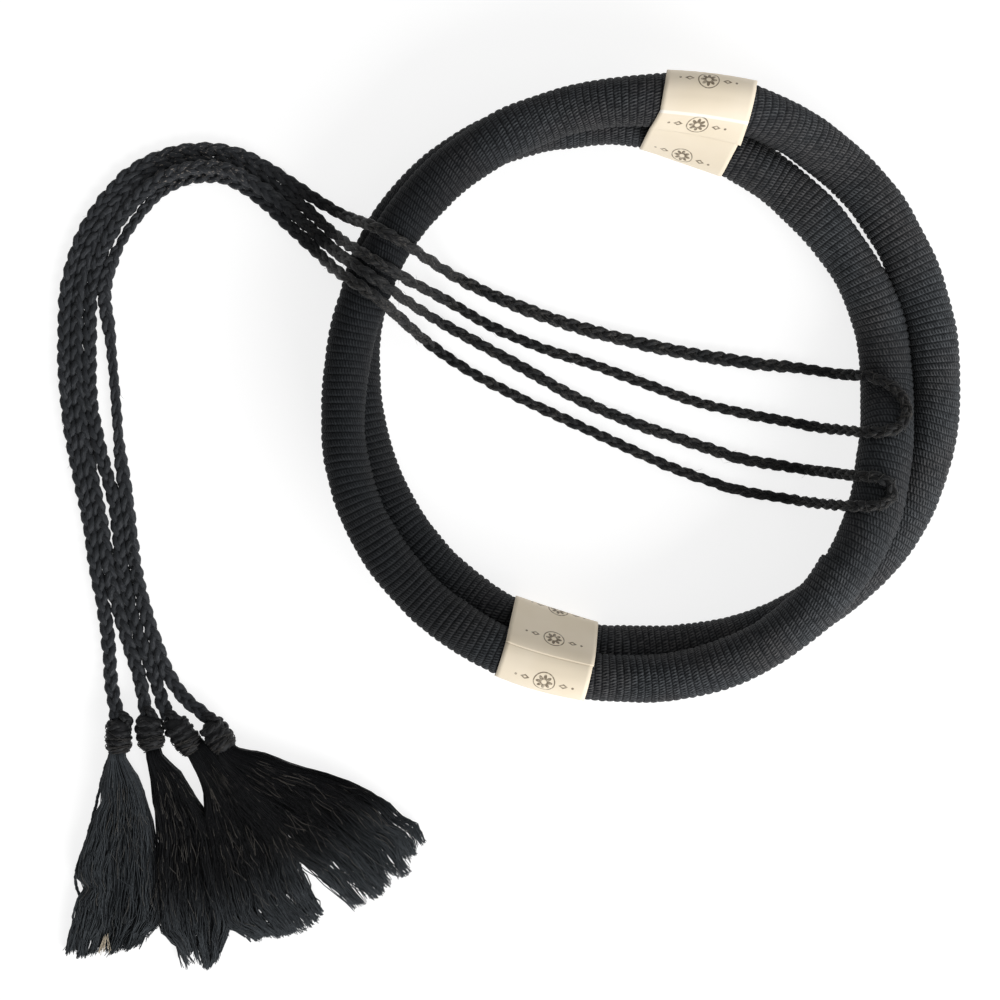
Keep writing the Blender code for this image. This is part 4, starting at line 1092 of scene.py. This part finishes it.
def fringe(number, finish, threads=840, stations=20, hairs=130):
    rows = np.array(TASSELS[number - 1], float)
    _, along, _, length, half = knot_axis(number)
    lead = rows[0].copy()
    mid = (rows[0, :2] + rows[0, 2:4]) / 2
    for c in (0, 2):
        lead[c:c + 2] = mid + (rows[0, c:c + 2] - mid) * 0.9 - along[:2] * 3.4
    lead[4:] = (2.2, 7.6)
    rows = np.vstack([lead, rows])
    known = distances((rows[:, :2] + rows[:, 2:4]) / 2)
    known = known - known[1]
    full = known[-1]
    # past the last row the form goes straight on
    tail = rows[-1] + (rows[-1] - rows[-2]) * (0.08 * full / (known[-1] - known[-2]))
    tail[4:] = (0.1, max(3.0, rows[-1, 5] - 0.6))
    rows, known = np.vstack([rows, tail]), np.append(known, full * 1.08)
    spread = np.array(FRINGE_SPREAD[number - 1])

    def form(v, u, w):
        """Point at share v along, u across and w up; arrays of one shape."""
        shape = v.shape
        r = smooth(known, rows, np.clip(v.ravel() * full, known[0], known[-1])).reshape(*shape, 6)
        mid = (r[..., 0:2] + r[..., 2:4]) / 2
        half_across = (r[..., 2:4] - r[..., 0:2]) / 2
        height = (r[..., 4] + r[..., 5]) / 2 + w * (r[..., 5] - r[..., 4]) / 2
        u = u * (1 + np.interp(v, spread[:, 0], spread[:, 1]) * np.clip(-3 * u, 0, 1)
                 + np.interp(v, spread[:, 0], spread[:, 2]) * np.clip(3 * u, 0, 1))
        return np.concatenate([mid + half_across * u[..., None], height[..., None]], -1)

    rng = np.random.default_rng(100 + number)
    lower = known[0] / full
    parts = Parts()
    # the fringe's own bulk, under the threads
    v = np.linspace(lower, 0.86, 14)
    a = 2 * np.pi * (np.arange(16) + 0.5) / 16
    squarer = 1 / (np.abs(np.cos(a)) ** 2.4 + np.abs(np.sin(a)) ** 2.4) ** (1 / 2.4)
    shrink = np.interp(v, (lower, 0.2, 0.7, 0.86), (0.82, 0.84, 0.76, 0.50))
    vv = np.repeat(v[:, None], 16, 1)
    flat = np.interp(v, (lower, 0.45, 0.86), (0.5, 0.42, 0.06))
    bulk = form(vv, np.cos(a)[None] * squarer * shrink[:, None],
                np.sin(a)[None] * squarer * (shrink * flat)[:, None] - 0.12)
    uv = np.full((1, 14, 2), 0.12); uv[0, :, 1] = v
    parts.tubes(bulk[None], uv)

    ends = np.array(FRINGE_ENDS[number - 1])
    clumps = 62
    clump_u = np.sort(rng.uniform(-0.95, 0.95, clumps))
    clump_w = rng.uniform(-0.7, 0.95, clumps)
    clump_end = np.clip(rng.normal(0, 0.009, clumps), -0.02, 0.012)
    clump_wave = rng.uniform(0, 6.28, (clumps, 4))
    clump_size = rng.normal(0, 1.0, (clumps, 4))
    which = rng.integers(0, clumps, threads)
    u0 = np.clip(clump_u[which] + rng.normal(0, 0.062, threads), -1.0, 1.0)
    w0 = clump_w[which] + rng.normal(0, 0.12, threads)
    limit = np.sqrt(np.maximum(0, 1 - np.abs(u0) ** 2.4))
    w0 = np.clip(w0, -limit, limit)
    # neck order is freer: threads cross each other on the way
    neck_u = np.clip(u0 + rng.normal(0, 0.34, threads), -0.95, 0.95)
    neck_w = np.clip(w0 + rng.normal(0, 0.3, threads), -0.95, 0.95)
    end = np.interp(u0, ends[:, 0], ends[:, 1]) + clump_end[which] + np.clip(rng.normal(0, 0.008, threads), -0.02, 0.01)
    short = rng.random(threads) < 0.16
    end = np.where(short, end * rng.uniform(0.62, 0.98, threads), end)
    f = np.linspace(0, 1, stations)[None]
    v = lower + (end[:, None] - lower) * f
    blend = ease(np.clip(v, 0, 1) / 0.75)
    u = neck_u[:, None] * (1 - blend) + u0[:, None] * blend
    # towards the ends the threads of a clump draw together
    gather = ease((v - 0.88) / 0.12) * 0.4
    u = u * (1 - gather) + clump_u[which][:, None] * gather
    w = neck_w[:, None] * (1 - blend) + w0[:, None] * blend
    r = np.sqrt(np.abs(u) ** 2.4 + np.abs(w) ** 2.4)
    over = np.maximum(r, 1.0)
    u, w = u / over, w / over
    place = form(v, u, w)
    across = unit((rows[4, 2:4] - rows[4, 0:2])[None])[0]
    across = np.array([across[0], across[1], 0.0])
    grow = np.clip(v, 0, 1.1)
    mm = v * full
    sway = sum(clump_size[which, k][:, None] * np.sin(2 * np.pi * mm / wave + clump_wave[which, k][:, None])
               for k, wave in ((0, 46.0), (1, 23.0)))
    lift = clump_size[which, 2][:, None] * np.sin(2 * np.pi * mm / 31.0 + clump_wave[which, 2][:, None])
    own = rng.uniform(0, 6.28, (threads, 4))
    amount = np.abs(rng.normal(0, 1.0, (threads, 2)))
    wild = np.where(rng.random(threads) < 0.16, 2.0, 1.0)
    fine = amount[:, :1] * np.sin(2 * np.pi * mm / 13.0 + own[:, :1]) + 0.3 * np.sin(2 * np.pi * mm / 8.4 + own[:, 1:2])
    fine_up = amount[:, 1:] * np.sin(2 * np.pi * mm / 15.0 + own[:, 2:3])
    place = place + across * ((0.08 + 0.62 * grow**1.4) * sway + (0.06 + 0.30 * grow) * fine * wild[:, None])[..., None]
    place[..., 2] += (0.05 + 0.35 * grow) * lift + (0.05 + 0.25 * grow) * fine_up * wild[:, None]
    top = form(v, u * 0, np.ones_like(w))[..., 2]
    place[..., 2] = np.clip(place[..., 2], 0.22, top + 0.5)
    radii = np.where(rng.random(threads) < 0.25, 0.26, 0.19)[:, None] * np.where(f > 0.96, 0.6, 1.0)
    rings = round_tubes(place, radii, 3)
    rings[..., 2] = np.maximum(rings[..., 2], 0.05)
    shade = rng.random(threads) * 0.86
    uv = np.zeros((threads, stations, 2))
    uv[..., 0] = shade[:, None]
    uv[..., 1] = np.clip(v, 0, 1)
    parts.tubes(rings, uv)

    # single hairs that wander over the top
    f = np.linspace(0, 1, 11)[None]
    begin = rng.uniform(0.08, 0.84, hairs)
    v = begin[:, None] + np.minimum(rng.uniform(0.05, 0.17, hairs), 0.97 - begin)[:, None] * f
    u = rng.uniform(-0.9, 0.9, hairs)[:, None] + rng.normal(0, 0.12, hairs)[:, None] * f
    u = u + 0.016 * np.sin(2 * np.pi * (v * full / rng.uniform(5.0, 12.0, (hairs, 1)) + rng.random((hairs, 1))))
    u = np.clip(u, -0.97, 0.97)
    w = np.sqrt(1 - np.abs(u) ** 2.4) * 0.97
    place = form(v, u, w)
    place[..., 2] += 0.35 + 0.3 * np.sin(2 * np.pi * (v * full / 7.3 + rng.random((hairs, 1))))
    place[..., 2] = np.maximum(place[..., 2], 0.3)
    rings = round_tubes(place, rng.uniform(0.07, 0.13, (hairs, 1)), 3)
    uv = np.zeros((hairs, 11, 2))
    uv[..., 0] = np.where(rng.random(hairs) < 0.5, 0.94, 0.86)[:, None]
    uv[..., 1] = v
    parts.tubes(rings, uv)
    if number == 1:
        # a small tuft of undyed fibre at the lower edge
        tuft = 11
        v = 0.925 + 0.09 * f + 0 * np.zeros((tuft, 1)) + rng.normal(0, 0.010, (tuft, 1))
        u = rng.uniform(-0.08, 0.03, (tuft, 1)) + (0.05 + rng.normal(0, 0.06, (tuft, 1))) * f
        place = form(v, u, 0 * u + 0.9)
        place[..., 2] += 0.6
        rings = round_tubes(place, rng.uniform(0.09, 0.15, (tuft, 1)), 3)
        uv = np.zeros((tuft, 11, 2))
        uv[..., 0], uv[..., 1] = 2.0, v
        parts.tubes(rings, uv)
    return parts


STRAY = (
    # the loose strand down the left edge of the first tassel: x, y, height
    (-179.6, -122.2, 4.6), (-181.5, -127.6, 4.2), (-184.1, -137.8, 3.4), (-186.0, -144.9, 3.0),
    (-188.3, -152.7, 2.6), (-190.9, -160.5, 1.8), (-191.9, -165.9, 1.6), (-190.3, -170.9, 1.6),
    (-190.3, -174.7, 1.6), (-193.8, -183.8, 1.2), (-195.1, -189.2, 0.9),
)


# ---------------------------------------------------------------- stitches
def stitches(number, line, finish):
    """Short threads that hold a fold down to the head cord under it."""
    rng = np.random.default_rng(number + 5)
    run = distances(line)
    along, side, up = frames(line)
    parts = Parts()
    for k, s in enumerate(np.linspace(3.0, run[-1] - 3.0, 9 if number == 1 else 6)):
        i = int(np.searchsorted(run, s))
        lean = rng.uniform(-0.9, 0.9)
        width = rng.uniform(1.9, 2.6)
        f = np.linspace(-1, 1, 15)
        arch = line[i] + side[i] * (f * width)[:, None] + along[i] * (f * lean * 1.8)[:, None] \
            + up[i] * (1.62 * (1 - np.abs(f) ** 2.6) - 1.5 * np.abs(f) ** 4)[:, None]
        tube = round_tubes(arch[None], 0.15, 6, lobes=2, depth=0.12, pitch=1.5, seed=k)
        uv = np.zeros((1, 15, 7, 2)); uv[0, :, :, 0] = distances(arch)[:, None]; uv[0, :, :, 1] = np.linspace(0, 1, 7)[None]
        parts.tubes(tube, uv)
    return parts.done("fold_stitches_%d" % number, finish)


# ---------------------------------------------------------------- the object
def build():
    braid = yarn_material("braid", (0.0175, 0.0195, 0.0228), (0.070, 0.073, 0.080), 0.78, deep_run_and_bend_highlight=True)
    knot_yarn = yarn_material("knot_yarn", (0.0065, 0.0070, 0.0082), (0.030, 0.030, 0.031), 0.70)
    wrap = yarn_material("wrap_thread", (0.0110, 0.0108, 0.0108), (0.150, 0.134, 0.116), 0.85, scale=1600.0)
    sewing = yarn_material("sewing_thread", (0.014, 0.013, 0.012), (0.062, 0.056, 0.048), 0.8, scale=1600.0)
    threads = fringe_material()

    ring = head_cord()
    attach(ring, "root")
    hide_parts("head_cord")

    wraps = (((0.62, 1.32, 0.9, 0.05),
              ((0.0, 2.7, 1.6), (0.08, 2.4, 1.4), (0.15, 1.5, 0.4), (0.22, 0.7, -0.8), (0.32, 0.1, 0.4),
               (0.42, 0.7, 0.8), (0.5, 1.1, 1.1), (0.6, 1.1, 1.1), (0.95, 2.4, 1.4), (1.0, 2.7, 1.6)),
              # the painted highlight: a pale line across the first band
              (0.225, 0.50, (0.93, 0.88, 0.80), 0.85)),
             ((0.195, 0.62, 0.05, 0.3),
              ((0.0, -2.2, -0.9), (0.1, -1.7, -0.8), (0.2, -1.0, -0.7), (0.3, -0.9, -0.7), (0.5, -0.5, -1.0),
               (0.6, -0.5, -1.0), (0.95, -2.0, -0.9), (1.0, -2.2, -0.9)),
              # the painted shadow of the lap's edge: a faint dark line across the second band
              (0.192, 0.16, (0.52, 0.44, 0.32), 0.35)))
    for (name, angle, _, edge, slack), (lap, lean, across) in zip(BANDS, wraps):
        paper = band(name + "_paper", angle, edge, slack, lap, lean, across)
        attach(paper, "root")
        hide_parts(name)

    for number in (1, 2, 3, 4):
        body, wraps = knot(number, knot_yarn, wrap)
        for piece in (body, wraps):
            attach(piece, "root")
        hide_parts("knot_%d" % number)
        parts = fringe(number, threads)
        if number == 1:
            line = even(np.array(STRAY), 0.8)
            line[:, 0] += 0.12 * np.sin(np.arange(len(line)) * 0.9)
            tube = round_tubes(line[None], 0.52, 8, lobes=2, depth=0.18, pitch=2.6, seed=4)
            tube[..., 2] = np.maximum(tube[..., 2], 0.05)
            uv = np.zeros((1, len(line), 2)); uv[..., 0] = 0.55
            parts.tubes(tube, uv)
        tassel = parts.done("fringe_%d" % number, threads)
        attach(tassel, "root")
        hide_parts("tassel_%d" % number)

    for number, fold in enumerate(FOLDS, 1):
        line, start, stop = chain(fold)
        run = distances(line)
        beat = plait_beat(line, BRAID_PITCH)
        # past the head cord the first of the two runs is the thicker one, up to the fold
        first_run = np.arange(len(line)) < (start + stop) / 2
        slim = BRAID_SLIM + np.where(first_run, 0.20 if 1 in fold[:2] else 0.08, -0.02) \
            * ease((line[:, 0] + 75) / 40) * ease((60 - line[:, 0]) / 25)
        slim = BRAID_FULL - (BRAID_FULL - slim) * ease((line[:, 0] + 140) / 60)
        if 4 in fold[:2]:
            alone = (np.arange(len(line)) > (start + stop) / 2) & (line[:, 0] < -150)
            y = line[:, 1]
            slack = 0.28 * ease((27 - y) / 14) * ease((y + 26) / 14) + 0.26 * ease((y - 42) / 9) * ease((76 - y) / 9)
            slim = np.where(alone, slim * (1 - slack), slim)
        plait = dict(seed=number, beat=beat, size=slim, roll=0.22, loosen=0.05)
        # the fold itself
        parts = Parts()
        rings, uv, middle = braid_tubes(line, run[start], run[stop], **plait)
        parts.tubes(rings, uv)
        loop = parts.done("sewn_braid_%d" % number, braid)
        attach(loop, "root")
        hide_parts("sewn_loop_%d" % number)
        thread = stitches(number, line[start:stop + 1], sewing)
        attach(thread, "root")
        for cord, first, last in ((fold[0], 0, start), (fold[1], stop, len(line) - 1)):
            entry, along, _, length, _ = knot_axis(cord)
            parts = Parts()
            rings, uv, middle = braid_tubes(line, run[first], run[last], **plait)
            parts.tubes(rings, uv)
            fluff(parts, middle, 1.9, 110, 300 + cord, thick=0.05)
            # on through the knot and into the tassel's neck
            end = length + NECK_RUN
            through = np.array([entry - along * (BUTT_GAP + 1.0), entry + along * end * 0.5, entry + along * end])
            through = even(through, 0.8)
            rings, uv, _ = braid_tubes(through, 0, distances(through)[-1], wide=0.7, high=0.4, strand=0.7, sides=8, seed=cord)
            parts.tubes(rings, uv)
            piece = parts.done("braided_cord_%d" % cord, braid)
            route = line[first:last + 1]
            if first == 0:
                route = route[::-1]
            route = np.vstack([route, [entry + along * end * f for f in (0.2, 0.4, 0.6, 0.8, 1.0)]])
            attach(piece, "root")
            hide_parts("tassel_cord_%d" % cord)


# ---------------------------------------------------------------- floor, light and camera
def studio():
    scene = bpy.context.scene
    mesh = bpy.data.meshes.new("floor")
    mesh.from_pydata([(-4, -4, 0), (4, -4, 0), (4, 4, 0), (-4, 4, 0)], [], [(0, 1, 2, 3)])
    floor = bpy.data.objects.new("floor", mesh)
    scene.collection.objects.link(floor)
    n = Nodes("floor", 0.9, specular=0.1)
    n.colour((0.30, 0.30, 0.30))
    n.shader.inputs["Emission Color"].default_value = (1, 1, 1, 1)
    n.shader.inputs["Emission Strength"].default_value = 0.80
    mesh.materials.append(n.material)

    def area(name, place, target, size, power, colour=(1, 1, 1)):
        light = bpy.data.lights.new(name, "AREA")
        light.shape = "RECTANGLE"
        light.size, light.size_y = size
        light.energy = power
        light.color = colour
        item = bpy.data.objects.new(name, light)
        scene.collection.objects.link(item)
        item.location = place
        from mathutils import Vector
        item.rotation_euler = (Vector(target) - Vector(place)).to_track_quat("-Z", "Y").to_euler()
        return item

    area("key", (1.05, -1.50, 1.05), (-0.02, 0, 0), (1.6, 0.9), 48.0)
    area("fill", (1.85, 0.35, 0.9), (-0.02, 0, 0), (1.4, 1.0), 12.0)
    world = bpy.data.worlds.new("studio")
    world.use_nodes = True
    world.node_tree.nodes["Background"].inputs[0].default_value = (1, 1, 1, 1)
    world.node_tree.nodes["Background"].inputs[1].default_value = 0.36
    scene.world = world
    scene.view_settings.view_transform = "Standard"
    scene.view_settings.look = "None"

    camera = bpy.data.cameras.new("camera")
    camera.lens = 64.59
    camera.sensor_width = 36.0
    camera.clip_start = 0.01
    item = bpy.data.objects.new("camera", camera)
    item.location = (-0.04793, -0.03703, 0.610)
    item.rotation_euler = (0, 0, 0)
    scene.collection.objects.link(item)
    scene.camera = item


build()
studio()
bpy.context.view_layer.update()
